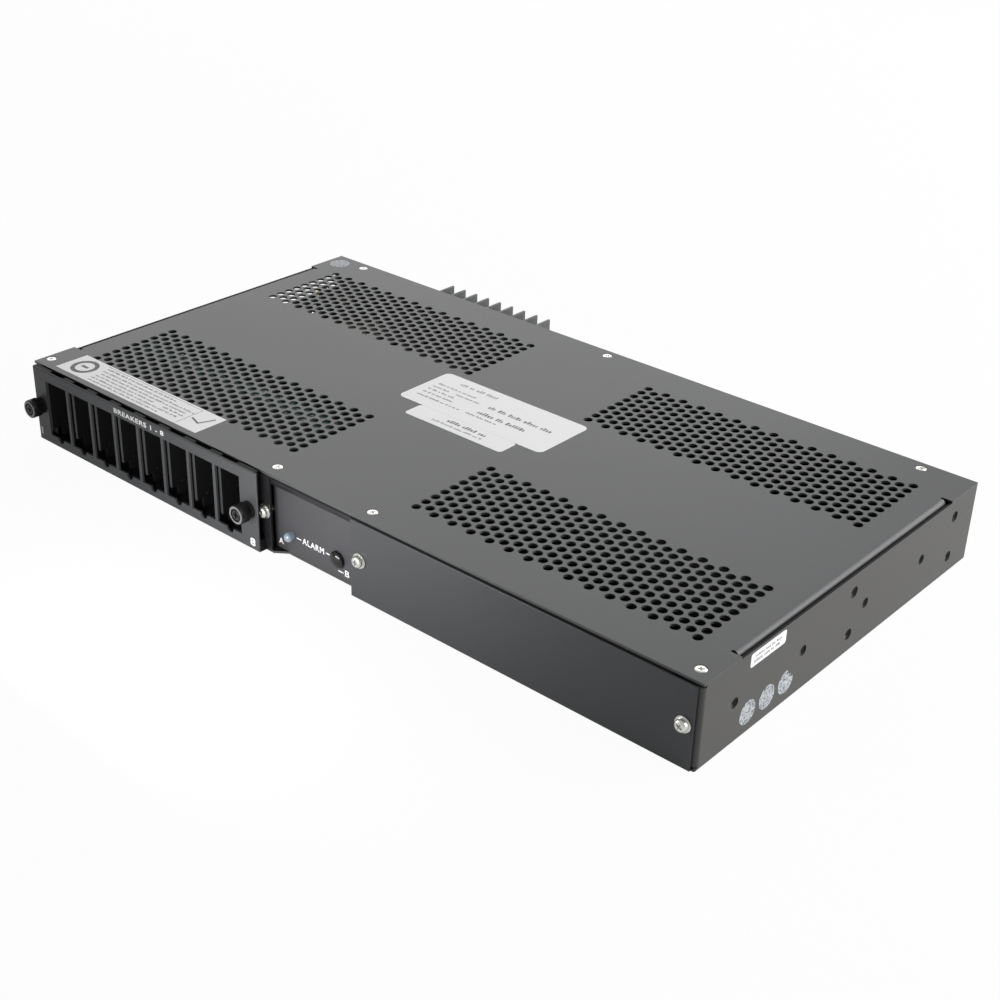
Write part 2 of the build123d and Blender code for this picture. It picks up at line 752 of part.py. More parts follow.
board_y = recess_depth + sheet + 4
with BuildPart() as alarm_lamp_a:
    with BuildSketch(facing_front(board_y)):
        with Locations((lamp_x, lamp_height)):
            Circle(lamp_radius - 0.05)
    extrude(amount=board_y - recess_depth + lamp_reach)
    fillet(alarm_lamp_a.edges().sort_by(Axis.Y)[0], radius=lamp_radius - 0.4)
save(alarm_lamp_a.part, "alarm_lamp_a")

with BuildPart() as alarm_plug_b:
    with BuildSketch(facing_front(recess_depth)):
        with Locations((plug_x, lamp_height)):
            Circle(plug_radius)
    extrude(amount=plug_reach)
    fillet(alarm_plug_b.edges().sort_by(Axis.Y)[0], radius=plug_reach - 0.2)
    with BuildSketch(facing_front(recess_depth)):
        with Locations((plug_x, lamp_height)):
            Circle(plug_radius - 1.05)
    extrude(amount=-2 * sheet)
save(alarm_plug_b.part, "alarm_plug_b")

with BuildPart() as alarm_board:
    with BuildSketch(facing_front(board_y)):
        plate(recess_left + 2, recess_right - 2, 5, 26)
    extrude(amount=-board_thickness)
save(alarm_board.part, "alarm_board")

with BuildPart() as alarm_relay:
    with BuildSketch(facing_front(board_y + board_thickness)):
        with Locations((-6, 15)):
            RectangleRounded(20, 12, 1)
    extrude(amount=-10)
save(alarm_relay.part, "alarm_relay")

# Alarm connector: stands on the base and looks out through the rear wall
with BuildPart() as alarm_connector:
    with BuildSketch(Plane.XY.offset(sheet)):
        plate(connector_x - connector_width / 2, connector_x + connector_width / 2, depth - 14, depth - 2 * sheet)
    extrude(amount=connector_high - sheet)
    with BuildSketch(facing_front(depth - 2 * sheet)):
        plate(connector_x - connector_width / 2, connector_x + connector_width / 2, connector_low, connector_high)
    extrude(amount=-connector_reach - sheet)
    with BuildSketch(facing_front(depth + connector_reach - sheet - 3)):
        with Locations((connector_x, (connector_low + connector_high) / 2)):
            with GridLocations(5, 1, 4, 1):
                Rectangle(3.2, 5)
    extrude(amount=-4, mode=Mode.SUBTRACT)
save(alarm_connector.part, "alarm_connector")

# Blank panel over the spare bay
with BuildPart() as blank_panel:
    with BuildSketch(facing_front(0)):
        plate(blank_left, blank_right, blank_low, blank_high)
    extrude(amount=sheet)
    fillet(blank_panel.edges().group_by(Axis.Y)[0], radius=0.5)
    with BuildSketch(facing_front(0)):
        with Locations(*[(x, front_screw_height) for x, y in front_screws_at[1:]]):
            Circle(cover_screw_shank + 0.2)
    extrude(amount=sheet, mode=Mode.SUBTRACT)
save(blank_panel.part, "blank_panel")

# Pan-head screws of the front and their washers
washer = 0.8
with BuildPart() as front_washers:
    for x, y in front_screws_at:
        with BuildSketch(facing_front(y)):
            with Locations((x, front_screw_height)):
                Circle(front_washer)
                Circle(cover_screw_shank + 0.1, mode=Mode.SUBTRACT)
        extrude(amount=washer)
save(front_washers.part, "front_washers")

with BuildPart() as front_screws:
    for x, y in front_screws_at:
        with BuildSketch(facing_front(y - washer)):
            with Locations((x, front_screw_height)):
                Circle(front_screw_head)
        extrude(amount=1.3)
        with BuildSketch(facing_front(y - washer - 1.3)):
            with Locations((x, front_screw_height)):
                Circle(front_screw_head)
        extrude(amount=0.9, taper=40)
        with BuildSketch(facing_front(y - washer - 2.2)):
            with Locations((x, front_screw_height)):
                Rectangle(3.2, 0.9)
                Rectangle(0.9, 3.2)
        extrude(amount=-1.2, mode=Mode.SUBTRACT)
        with BuildSketch(facing_front(y - washer)):
            with Locations((x, front_screw_height)):
                Circle(cover_screw_shank - 0.1)
        extrude(amount=-6)
save(front_screws.part, "front_screws")

# Earth studs in the rear wall and their nuts
with BuildPart() as earth_studs:
    with BuildSketch(facing_front(depth - sheet)):
        with Locations((earth_x, earth_height), (earth_x + earth_pitch, earth_height)):
            Circle(earth_radius)
    extrude(amount=-earth_reach - sheet)
    with BuildSketch(facing_front(depth - 2 * sheet)):
        with Locations((earth_x, earth_height), (earth_x + earth_pitch, earth_height)):
            Circle(earth_radius + 1.5)
    extrude(amount=-sheet)
save(earth_studs.part, "earth_studs")

with BuildPart() as earth_nuts:
    with BuildSketch(facing_front(depth)):
        with Locations((earth_x, earth_height), (earth_x + earth_pitch, earth_height)):
            RegularPolygon(nut_across / 2, 6, major_radius=False)
            Circle(earth_radius + 0.1, mode=Mode.SUBTRACT)
    extrude(amount=-nut_height)
save(earth_nuts.part, "earth_nuts")
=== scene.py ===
# %% [markdown]
# # A rack-mount dc power distribution unit
#
# The object is a low box of folded steel, painted black with a fine powder coat. A
# perforated cover lies on it, a bezel with eight windows sits at the front left, and
# an output terminal block stands out at the rear. The engineering model is loaded
# first as a fixed frame, and everything below dresses it.

# %% Load the frame
import random
from math import atan2, cos, degrees, hypot, pi, radians, sin

import bmesh
import bpy
from mathutils import Matrix, Vector


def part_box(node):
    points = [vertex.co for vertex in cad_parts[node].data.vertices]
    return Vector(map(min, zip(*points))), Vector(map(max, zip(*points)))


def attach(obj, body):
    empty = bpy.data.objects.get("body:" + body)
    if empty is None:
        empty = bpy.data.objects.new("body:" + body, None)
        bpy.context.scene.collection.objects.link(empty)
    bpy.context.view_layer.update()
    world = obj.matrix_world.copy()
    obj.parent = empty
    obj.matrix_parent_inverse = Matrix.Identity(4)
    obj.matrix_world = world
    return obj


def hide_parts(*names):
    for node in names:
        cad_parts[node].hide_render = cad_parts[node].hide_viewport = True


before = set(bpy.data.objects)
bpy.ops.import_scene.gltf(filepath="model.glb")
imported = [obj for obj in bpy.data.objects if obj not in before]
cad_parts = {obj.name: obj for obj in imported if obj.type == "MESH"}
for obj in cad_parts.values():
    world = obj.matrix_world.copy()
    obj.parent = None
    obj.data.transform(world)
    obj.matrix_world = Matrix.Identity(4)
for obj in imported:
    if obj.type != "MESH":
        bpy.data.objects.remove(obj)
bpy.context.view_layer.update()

# %% [markdown]
# ## Measures
#
# Sheet-metal work is drawn in millimetres, and lengths along the depth are easiest to
# read from the cover's front edge. Blender works in metres, so each mesh is built in
# millimetres from that edge and put in place once, when it is finished.

# %% Sizes that several pieces share
MM = 0.001
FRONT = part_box("top_cover")[0][1]
WIDTH = 430.0
DEPTH = 224.8
HEIGHT = 42.4
SHEET = 1.2
WALL_TOP = HEIGHT - SHEET
SLOT_PITCH = 19.4
SLOTS_MID = -123.5
SLOT_XS = [SLOTS_MID + (i - 3.5) * SLOT_PITCH for i in range(8)]
THUMB_XS = (-205.3, -40.9)
THUMB_Z = 21.3
SCREW_Z = 21.0
print("front edge at", round(FRONT, 4), "slots from", SLOT_XS[0], "to", SLOT_XS[-1])

# %% [markdown]
# ## Camera
#
# The photograph looks down at the front right corner with a fairly long lens. The
# three directions of the camera are written as the rows of its rotation: to the right
# of the picture, down the picture, and into it. Blender's camera looks along its own
# minus Z with Y up, so two of the rows change sign.

# %% Camera
RIGHT = Vector((0.753249, 0.657201, 0.026510))
DOWN = Vector((0.333980, -0.347447, -0.876206))
AWAY = Vector((-0.566633, 0.668855, -0.481206))
camera_data = bpy.data.cameras.new("camera")
camera_data.lens = 58.2556
camera_data.sensor_width = 36.0
camera = bpy.data.objects.new("camera", camera_data)
bpy.context.scene.collection.objects.link(camera)
turn = Matrix((RIGHT, -DOWN, -AWAY)).transposed().to_4x4()
camera.matrix_world = Matrix.Translation((0.480275, -0.436413 + FRONT, 0.396260)) @ turn
bpy.context.scene.camera = camera
print("camera looks along", tuple(round(v, 3) for v in AWAY))

# %% [markdown]
# ## Shader arithmetic
#
# Patterns in a material are sums and products of numbers that change over the
# surface. Written as Python expressions they stay readable, so this class wraps one
# output of a node, and each operator adds the Math node it stands for. The reflected
# forms let a plain number stand first, as in 1 - mask.

# %% One output of a node, with arithmetic
class Wire:
    """One output of a node, on which arithmetic adds Math nodes."""

    def __init__(self, finish, socket):
        self.finish = finish
        self.socket = socket

    def math(self, operation, first, second):
        return self.finish.add("ShaderNodeMath", {"operation": operation}, {0: first, 1: second})

    def __add__(self, other):
        return self.math("ADD", self, other)

    def __sub__(self, other):
        return self.math("SUBTRACT", self, other)

    def __rsub__(self, other):
        return self.math("SUBTRACT", other, self)

    def __mul__(self, other):
        return self.math("MULTIPLY", self, other)

    def __gt__(self, other):
        return self.math("GREATER_THAN", self, other)

    def __lt__(self, other):
        return self.math("LESS_THAN", self, other)

    def __abs__(self):
        return self.math("ABSOLUTE", self, 0.0)

    def fraction(self):
        return self.math("FRACT", self, 0.0)

    __radd__ = __add__
    __rmul__ = __mul__


# %% [markdown]
# ## Finishes
#
# A finish is one material with a Principled shader. All its nodes come from one
# method, which takes the node's type, its settings and the values or links of its
# sockets. Patterns read Object coordinates, which are metres here, so a noise scale
# of 1000 gives grains of about a millimetre.

# %% A finish and its node maker
class Finish:
    """A material under construction, with its Principled shader."""

    def __init__(self, name, colour, roughness, metallic=0.0):
        self.material = bpy.data.materials.new(name)
        self.material.use_nodes = True
        self.tree = self.material.node_tree
        self.shader = self.tree.nodes["Principled BSDF"]
        self.put("Base Color", (*colour, 1.0))
        self.put("Roughness", roughness)
        self.put("Metallic", metallic)
        self.place = self.add("ShaderNodeTexCoord", {}, {}, "Object")
        self.colour = colour
        print("finish", name)

    def add(self, kind, settings, sockets, output=0):
        node = self.tree.nodes.new(kind)
        for key, value in settings.items():
            if key == "stops":
                self.set_stops(node.color_ramp, value)
            else:
                setattr(node, key, value)
        for key, value in sockets.items():
            self.join(value, node.inputs[key])
        return Wire(self, node.outputs[output])

    def set_stops(self, ramp, stops):
        while len(ramp.elements) < len(stops):
            ramp.elements.new(0.5)
        for element, (position, colour) in zip(ramp.elements, stops):
            element.position = position
            element.color = (*colour, 1.0)

    def join(self, value, socket):
        if isinstance(value, Wire):
            self.tree.links.new(value.socket, socket)
        else:
            socket.default_value = value

    def put(self, name, value):
        self.join(value, self.shader.inputs[name])

    def noise(self, scale, detail=2.0, place=None):
        sockets = {"Vector": place or self.place, "Scale": scale, "Detail": detail}
        return self.add("ShaderNodeTexNoise", {}, sockets, 0)

    def stretched(self, x, y, z):
        return self.add("ShaderNodeMapping", {}, {"Vector": self.place, "Scale": (x, y, z)})

    def axes(self):
        parts = self.add("ShaderNodeSeparateXYZ", {}, {0: self.place})
        node = parts.socket.node
        return [Wire(self, node.outputs[i]) for i in range(3)]

    def blend(self, amount, first, second):
        settings = {"data_type": "RGBA"}
        first = first if isinstance(first, Wire) else (*first, 1.0)
        second = second if isinstance(second, Wire) else (*second, 1.0)
        return self.add("ShaderNodeMix", settings, {0: amount, 6: first, 7: second}, 2)

    def bumps(self, height, strength, distance):
        sockets = {"Height": height, "Strength": strength, "Distance": distance}
        self.put("Normal", self.add("ShaderNodeBump", {}, sockets))


# %% [markdown]
# ## Powder coat
#
# The case is dipped in black powder that melts to a satin skin. Close up it has the
# dimples of an orange peel and a faint sparkle, and over a hand's breadth the sheen
# drifts a little where the coat is thicker. Fine dust lightens it in specks. Two nearly
# black coats are painted shade: one for the breaker cage, the rail, the tray's insides
# and the bezel's window jambs, where little light reaches, and one for the strip beside
# the bezel and the lip under the cover's edge, which lie in shadow.

# %% Powder coat
def powder_coat(name, colour, roughness, gloss=0.5):
    finish = Finish(name, colour, roughness)
    finish.put("Specular IOR Level", gloss)
    drift = finish.noise(14.0, 3.0)
    grain = finish.noise(1400.0, 2.0)
    peel = finish.noise(620.0, 3.0)
    dust = finish.noise(2300.0, 1.0) > 0.74
    lighter = tuple(min(1.0, c * 1.35) for c in colour)
    tone = finish.blend(drift * 0.6 + grain * 0.35, colour, lighter)
    finish.put("Base Color", finish.blend(dust * 0.35 * gloss, tone, (0.30, 0.30, 0.30)))
    finish.put("Roughness", roughness - 0.05 + drift * 0.05 + grain * 0.08)
    finish.bumps(peel + grain * 0.6, 0.35, 0.00006)
    return finish


CASE = powder_coat("powder_coat_case", (0.052, 0.051, 0.049), 0.46)
COVER = powder_coat("powder_coat_cover", (0.053, 0.0545, 0.057), 0.42)
PANEL = powder_coat("powder_coat_panel", (0.042, 0.044, 0.047), 0.38, 0.38)
ALARM = powder_coat("powder_coat_alarm", (0.047, 0.047, 0.052), 0.45)
BEZEL = powder_coat("powder_coat_bezel", (0.050, 0.052, 0.055), 0.46)
# STRIP_SHADE: near-black coat of painted shadow for the strip beside the bezel and the lip
STRIP_SHADE = powder_coat("powder_coat_strip_painted_shade", (0.009, 0.009, 0.010), 0.34, 0.35)
# SHADED: near-black coat of painted shade for the cage, rail, tray insides and jambs
SHADED = powder_coat("powder_coat_painted_shade", (0.007, 0.007, 0.007), 0.6, 0.15)

# %% [markdown]
# ## Bare and plated metals
#
# Zinc plate is bright with a grain of fine scratches, so its roughness varies along
# stretched noise. The thumbscrews are blackened steel: dark, half glossy, worn a
# little lighter. Brass and tinned copper are seen only through the perforation. The
# copper of the load straps is darkened as painted shade, for the dim space under the cover.

# %% Metals
def plated(name, colour, roughness, worn, metallic=1.0):
    finish = Finish(name, colour, roughness, metallic)
    scratches = finish.noise(900.0, 4.0, finish.stretched(1.0, 6.0, 1.0))
    cloud = finish.noise(260.0, 2.0)
    finish.put("Base Color", finish.blend(cloud * 0.7, colour, worn))
    finish.put("Roughness", roughness - 0.08 + scratches * 0.2)
    finish.bumps(scratches, 0.25, 0.00003)
    return finish


ZINC = plated("zinc_plate", (0.80, 0.80, 0.77), 0.26, (0.62, 0.62, 0.58))
BLACK_OXIDE = plated("black_oxide", (0.010, 0.010, 0.010), 0.27, (0.020, 0.020, 0.020), 0.2)
WORN_OXIDE = plated("worn_oxide", (0.30, 0.30, 0.30), 0.40, (0.16, 0.16, 0.16), 0.5)
THREAD = plated("dark_thread", (0.10, 0.10, 0.095), 0.35, (0.05, 0.05, 0.05), 0.6)
BRASS = plated("brass", (0.72, 0.52, 0.24), 0.30, (0.55, 0.38, 0.16))
TINNED = plated("tinned_copper", (0.74, 0.66, 0.58), 0.30, (0.62, 0.42, 0.30))
# darkened copper: painted shade for the straps under the cover
COPPER_IN_SHADE = plated("copper_painted_shade", (0.10, 0.055, 0.035), 0.45, (0.05, 0.035, 0.03))

# %% [markdown]
# ## Plastics, board and lens
#
# Moulded parts have a dull grain, the insulating sheet is ivory with fibres, and the
# circuit board's green varnish lets its tracks show as paler bands.

# %% Moulded plastic
def moulded(name, colour, roughness, grain_scale=1500.0):
    finish = Finish(name, colour, roughness)
    grain = finish.noise(grain_scale, 3.0)
    cloud = finish.noise(60.0, 2.0)
    lighter = tuple(min(1.0, c * 1.4 + 0.004) for c in colour)
    finish.put("Base Color", finish.blend(cloud * 0.6, colour, lighter))
    finish.put("Roughness", roughness - 0.06 + grain * 0.12)
    finish.bumps(grain, 0.3, 0.00005)
    return finish


BLACK_PLASTIC = moulded("black_moulding", (0.035, 0.035, 0.036), 0.5)
BARRIER_PLASTIC = moulded("barrier_moulding", (0.085, 0.087, 0.088), 0.42)
GREY_PLASTIC = moulded("relay_case", (0.05, 0.05, 0.055), 0.3)
# solder joints: matt near-white, a painted glint in place of the metal's shine
SOLDER_GLINT = moulded("solder_painted_glint", (0.80, 0.81, 0.80), 0.3, 400.0)
IVORY = moulded("ivory_sheet", (0.62, 0.55, 0.36), 0.5, 500.0)
GLOSS_PLUG = moulded("gloss_plug", (0.008, 0.008, 0.008), 0.12)
LENS = moulded("lamp_lens", (0.24, 0.28, 0.34), 0.16)
LENS.put("Coat Weight", 0.5)

# %% Circuit board
BOARD = Finish("circuit_board", (0.01, 0.12, 0.055), 0.35)
across, along, up = BOARD.axes()
track = abs(BOARD.noise(240.0, 0.0, BOARD.stretched(1.0, 1.0, 0.25)) - 0.5) < 0.045
BOARD.put("Base Color", BOARD.blend(track, (0.008, 0.10, 0.045), (0.03, 0.24, 0.10)))
BOARD.put("Coat Weight", 0.4)
BOARD.bumps(track, 0.4, 0.00005)

# %% [markdown]
# ## Paper, ink and stickers
#
# The labels are white film with a faint grain, and the inks lie on them as thin
# pieces of their own, so that close up the print has clean edges.

# %% Film and inks
LABEL = moulded("label_film", (0.93, 0.93, 0.93), 0.42, 900.0)
INK_WHITE = moulded("white_ink", (0.80, 0.80, 0.80), 0.5, 2500.0)
INK_BLACK = moulded("black_ink", (0.06, 0.06, 0.065), 0.5, 2500.0)
INK_GREY = moulded("grey_ink", (0.12, 0.12, 0.13), 0.5, 2500.0)
INK_PALE = moulded("pale_ink", (0.30, 0.30, 0.31), 0.5, 2500.0)

# %% Rubbed sticker
STICKER = Finish("rubbed_sticker", (0.50, 0.52, 0.54), 0.5)
strokes = abs(STICKER.noise(620.0, 1.0) - 0.5) < 0.035
rubbed = STICKER.noise(900.0, 2.0) > 0.60
missing = 1.0 - (1.0 - strokes) * (1.0 - rubbed)
STICKER.put("Base Color", STICKER.blend(missing * 0.85, (0.50, 0.53, 0.57), (0.07, 0.07, 0.07)))
STICKER.bumps(missing, 0.3, 0.00003)

# %% [markdown]
# ## Putting a mesh in place
#
# Every piece is modelled in millimetres with its own bmesh. This function scales it to
# metres, moves it to the cover's front edge, smooths what is round, keeps hard edges
# hard, and lets the piece ride on its body.

# %% Turn a bmesh into a piece
def settle(bm, name, finish, body="case", instead_of=(), smooth=35.0):
    bmesh.ops.scale(bm, vec=(MM, MM, MM), verts=bm.verts)
    bmesh.ops.translate(bm, vec=(0, FRONT, 0), verts=bm.verts)
    mesh = bpy.data.meshes.new(name)
    bm.to_mesh(mesh)
    bm.free()
    return show(mesh, name, finish, body, instead_of, smooth)


def show(mesh, name, finish, body, instead_of, smooth):
    for face in mesh.polygons:
        face.use_smooth = True
    mesh.set_sharp_from_angle(angle=radians(smooth))
    mesh.materials.clear()
    mesh.materials.append(finish.material)
    piece = bpy.data.objects.new(name, mesh)
    bpy.context.scene.collection.objects.link(piece)
    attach(piece, body)
    if instead_of:
        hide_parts(*instead_of)
    print("piece", name, len(mesh.polygons), "faces")
    return piece


def even(piece):
    weighted = piece.modifiers.new("even_normals", "WEIGHTED_NORMAL")
    weighted.keep_sharp = True
    return piece


# %% [markdown]
# ## Perforated cover
#
# The cover is one sheet with 988 punched holes in four fields. Cutting so many holes
# from a slab is slow and leaves ragged faces, so the sheet is laid like tiles: a hole
# is a circle bridged to a six-cornered cell, and each cell shares its corners with
# its neighbours. The plain metal around the fields is filled between their outlines.

# %% One punched cell
HOLE = 4.76 / 2
ROW = 6.35
COLUMN = 5.5
FIELD_COLUMNS = 29


def punched_cell(bm, x, y, z):
    corners = [(-1, -1), (1, -1), (1, 0), (1, 1), (-1, 1), (-1, 0)]
    cell = [bm.verts.new((x + a * COLUMN / 2, y + b * ROW / 2, z)) for a, b in corners]
    edges = [bm.edges.new((cell[i], cell[(i + 1) % 6])) for i in range(6)]
    place = Matrix.Translation((x, y, z))
    ring = bmesh.ops.create_circle(bm, cap_ends=False, segments=16, radius=HOLE, matrix=place)
    rim = {edge for vert in ring["verts"] for edge in vert.link_edges}
    bmesh.ops.bridge_loops(bm, edges=edges + list(rim))


def plain_cell(bm, x, y0, y1, z):
    corners = [(x - COLUMN / 2, y0), (x + COLUMN / 2, y0), (x + COLUMN / 2, y1), (x - COLUMN / 2, y1)]
    bm.faces.new([bm.verts.new((a, b, z)) for a, b in corners])


# %% One field of holes
def field(bm, middle_x, middle_y, z):
    half = FIELD_COLUMNS // 2
    for column in range(-half, half + 1):
        x = middle_x + column * COLUMN
        tall = column % 2 == half % 2
        count = 9 if tall else 8
        for row in range(count):
            punched_cell(bm, x, middle_y + (row - (count - 1) / 2) * ROW, z)
        if not tall:
            plain_cell(bm, x, middle_y - 4.5 * ROW, middle_y - 4 * ROW, z)
            plain_cell(bm, x, middle_y + 4 * ROW, middle_y + 4.5 * ROW, z)


cover = bmesh.new()
for field_x in (-117.4, 117.4):
    for field_y in (50.1, 174.7):
        field(cover, field_x, field_y, HEIGHT)
bmesh.ops.remove_doubles(cover, verts=cover.verts, dist=0.01)
print("cells", len(cover.faces))

# %% [markdown]
# The outline steps in along both sides: over the corners the sheet reaches the full
# width, and between them it stops short and folds down inside the wall. Slits at the
# steps relieve the fold. The outline, the screw holes and the fields' own borders are
# the edges between which the plain sheet is filled.

# %% Outline and screw holes, then the plain sheet
FOLD = 2.4
EDGE_IN = WIDTH / 2 - 2.4
COVER_END = 25.4
SLIT = 1.6
COVER_SCREWS = [(-210.8, 7.6), (-33.0, 7.6), (29.8, 7.6), (207.9, 7.6),
                (-190.2, 219.3), (-1.7, 219.3), (188.2, 219.3)]


def outline_points():
    half = WIDTH / 2
    right = [
        (half, 0), (half, COVER_END), (EDGE_IN - 3.2, COVER_END), (EDGE_IN - 3.2, COVER_END + SLIT),
        (EDGE_IN - FOLD, COVER_END + SLIT), (EDGE_IN - FOLD, DEPTH - COVER_END - SLIT),
        (EDGE_IN - 3.2, DEPTH - COVER_END - SLIT), (EDGE_IN - 3.2, DEPTH - COVER_END),
        (half, DEPTH - COVER_END), (half, DEPTH),
    ]
    return right + [(-x, y) for x, y in reversed(right)]


def closed_line(bm, points, z):
    verts = [bm.verts.new((x, y, z)) for x, y in points]
    return [bm.edges.new((verts[i - 1], verts[i])) for i in range(len(verts))]


borders = [edge for edge in cover.edges if edge.is_boundary and edge.calc_length() > 1.5]
loops = closed_line(cover, outline_points(), HEIGHT)
for x, y in COVER_SCREWS:
    ring = bmesh.ops.create_circle(
        cover, cap_ends=False, segments=24, radius=2.75, matrix=Matrix.Translation((x, y, HEIGHT))
    )
    loops += list({edge for vert in ring["verts"] for edge in vert.link_edges})
filled = bmesh.ops.triangle_fill(cover, use_beauty=True, use_dissolve=False, edges=loops + borders)
print("plain sheet", len([g for g in filled["geom"] if isinstance(g, bmesh.types.BMFace)]), "faces")

# %% Thickness and folded edges
bmesh.ops.recalc_face_normals(cover, faces=cover.faces)
below = bmesh.ops.extrude_face_region(cover, geom=cover.faces[:], use_keep_orig=True)
moved = [g for g in below["geom"] if isinstance(g, bmesh.types.BMVert)]
bmesh.ops.translate(cover, vec=(0, 0, -SHEET), verts=moved)
for side in (-1, 1):
    lip = [
        f for f in cover.faces
        if all(abs(v.co.x - side * (EDGE_IN - FOLD)) < 0.01 for v in f.verts)
    ]
    geometry = lip + list({e for f in lip for e in f.edges}) + list({v for f in lip for v in f.verts})
    bent = bmesh.ops.spin(
        cover, geom=geometry, cent=(side * (EDGE_IN - FOLD), 0, HEIGHT - FOLD), axis=(0, side, 0),
        angle=pi / 2, steps=8, use_merge=False, use_duplicate=False,
    )
    last = [g for g in bent["geom_last"] if isinstance(g, bmesh.types.BMFace)]
    flange = bmesh.ops.extrude_face_region(cover, geom=last)
    verts = [g for g in flange["geom"] if isinstance(g, bmesh.types.BMVert)]
    bmesh.ops.translate(cover, vec=(0, 0, -4.8), verts=verts)
    bmesh.ops.delete(cover, geom=last, context="FACES")
bmesh.ops.remove_doubles(cover, verts=cover.verts, dist=0.005)
bmesh.ops.recalc_face_normals(cover, faces=cover.faces)
open_edges = [e for e in cover.edges if not e.is_manifold]
print("cover faces", len(cover.faces), "open edges", len(open_edges))
even(settle(cover, "perforated_cover", COVER, instead_of=("top_cover",)))

# %% [markdown]
# ## Sheet metal from the frame
#
# The folded sheets of the frame already have the right shape, but their edges are
# razor sharp and catch no light. A copy of each mesh is welded, its flat triangles are
# dissolved into whole faces, and every hard edge gets a small round, as paint gives it.
# A depth may be given behind which the faces take the near-black coat of painted shade,
# as the breaker cage lies in shade. The tray's inner faces take it as well, as painted
# shade under the cover.

# %% Round the edges of a sheet
def painted_sheet(node, finish, round_by=0.18, painted_shade_behind=None, painted_shade_inside=False):
    bm = bmesh.new()
    bm.from_mesh(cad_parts[node].data)
    bmesh.ops.remove_doubles(bm, verts=bm.verts, dist=0.000002)
    bmesh.ops.dissolve_limit(
        bm, angle_limit=radians(0.5), use_dissolve_boundaries=False, verts=bm.verts, edges=bm.edges
    )
    hard = [e for e in bm.edges if e.is_manifold and e.calc_face_angle() > radians(40)]
    bmesh.ops.bevel(
        bm, geom=hard, offset=round_by * MM, offset_type="OFFSET", affect="EDGES", segments=2,
        profile=0.5, material=-1, clamp_overlap=True, harden_normals=False,
    )
    mesh = bpy.data.meshes.new(node + "_painted")
    bm.to_mesh(mesh)
    bm.free()
    piece = show(mesh, node + "_painted", finish, "case", (node,), 30.0)
    # faces behind the given depth take the painted-shade coat
    if painted_shade_behind is not None:
        mesh.materials.append(SHADED.material)
        for face in mesh.polygons:
            face.material_index = int(face.center.y > FRONT + painted_shade_behind * MM)
    # faces inside the tray take the painted-shade coat, for the shade under the cover
    if painted_shade_inside:
        mesh.materials.append(SHADED.material)
        for face in mesh.polygons:
            x, y, z = face.center / MM
            in_painted_shade = abs(x) < WIDTH / 2 - 0.8 and 3.0 < y - FRONT / MM < DEPTH - 0.7 and z > 0.9
            face.material_index = int(in_painted_shade)
    return even(piece)


DIVIDER_FRONT = -1.2
# the tray's inner faces get painted shade
painted_sheet("chassis", CASE, 0.25, painted_shade_inside=True)
painted_sheet("output_bracket", CASE)
# the bezel's window jambs behind its front get painted shade
painted_sheet("bezel", BEZEL, 0.2, -3.8)
# the strip beside the bezel is coated near black as painted shadow
painted_sheet("bay_wall", STRIP_SHADE, 0.25)
# the rail is coated near black as painted shade in the gap under the cover
painted_sheet("front_rail", SHADED)
painted_sheet("blank_panel", PANEL, 0.45)
painted_sheet("alarm_panel", ALARM, 0.3)
# slot floors, roofs and dividers keep lit front edges and get painted shade behind them
for node in ("slot_floor", "slot_roof"):
    painted_sheet(node, CASE, 0.18, DIVIDER_FRONT + 0.2)
for number in range(1, 9):
    painted_sheet("slot_divider_%d" % number, BEZEL, 0.25, DIVIDER_FRONT + 0.35)
painted_sheet("output_block", BARRIER_PLASTIC)
for node in ("contact_carrier", "input_block", "alarm_connector"):
    painted_sheet(node, BLACK_PLASTIC)

# %% [markdown]
# ## Turned heads
#
# Screw heads and knobs are turned parts with a cross or a slot pressed into the face.
# A cross-shaped loop is bridged to a circle for the face, sunk for the recess, and the
# circle is then pulled along the profile of the head, ring by ring.

# %% A head with a cross recess
def cross_loop(bm, reach, arm):
    turns = [(reach, -arm), (reach, arm), (arm, arm), (arm, reach), (-arm, reach), (-arm, arm),
             (-reach, arm), (-reach, -arm), (-arm, -arm), (-arm, -reach), (arm, -reach), (arm, -arm)]
    verts = [bm.verts.new((x, y, 0)) for x, y in turns]
    return [bm.edges.new((verts[i - 1], verts[i])) for i in range(len(verts))]


def pull(bm, edges, rise, grow):
    out = bmesh.ops.extrude_edge_only(bm, edges=edges)
    verts = [g for g in out["geom"] if isinstance(g, bmesh.types.BMVert)]
    bmesh.ops.scale(bm, vec=(grow, grow, 1), verts=verts)
    bmesh.ops.translate(bm, vec=(0, 0, rise), verts=verts)
    return [g for g in out["geom"] if isinstance(g, bmesh.types.BMEdge)]


def turned_head(profile, reach, arm, sink, segments=32):
    bm = bmesh.new()
    cross = cross_loop(bm, reach, arm)
    radius, height = profile[0]
    ring = bmesh.ops.create_circle(bm, cap_ends=False, segments=segments, radius=radius)
    circle = list({edge for vert in ring["verts"] for edge in vert.link_edges})
    floor = pull(bm, cross, -sink, 0.62)
    bmesh.ops.edgeloop_fill(bm, edges=floor)
    bmesh.ops.bridge_loops(bm, edges=cross + circle)
    rim = circle
    for next_radius, next_height in profile[1:]:
        rim = pull(bm, rim, next_height - height, next_radius / radius)
        radius, height = next_radius, next_height
    bmesh.ops.edgeloop_fill(bm, edges=rim)
    bmesh.ops.recalc_face_normals(bm, faces=bm.faces)
    bmesh.ops.translate(bm, vec=(0, 0, profile[0][1]), verts=bm.verts)
    return bm


# %% [markdown]
# One head is made once and copied to each place of its kind, with a different turn
# about its own axis, because nobody lines up screws.

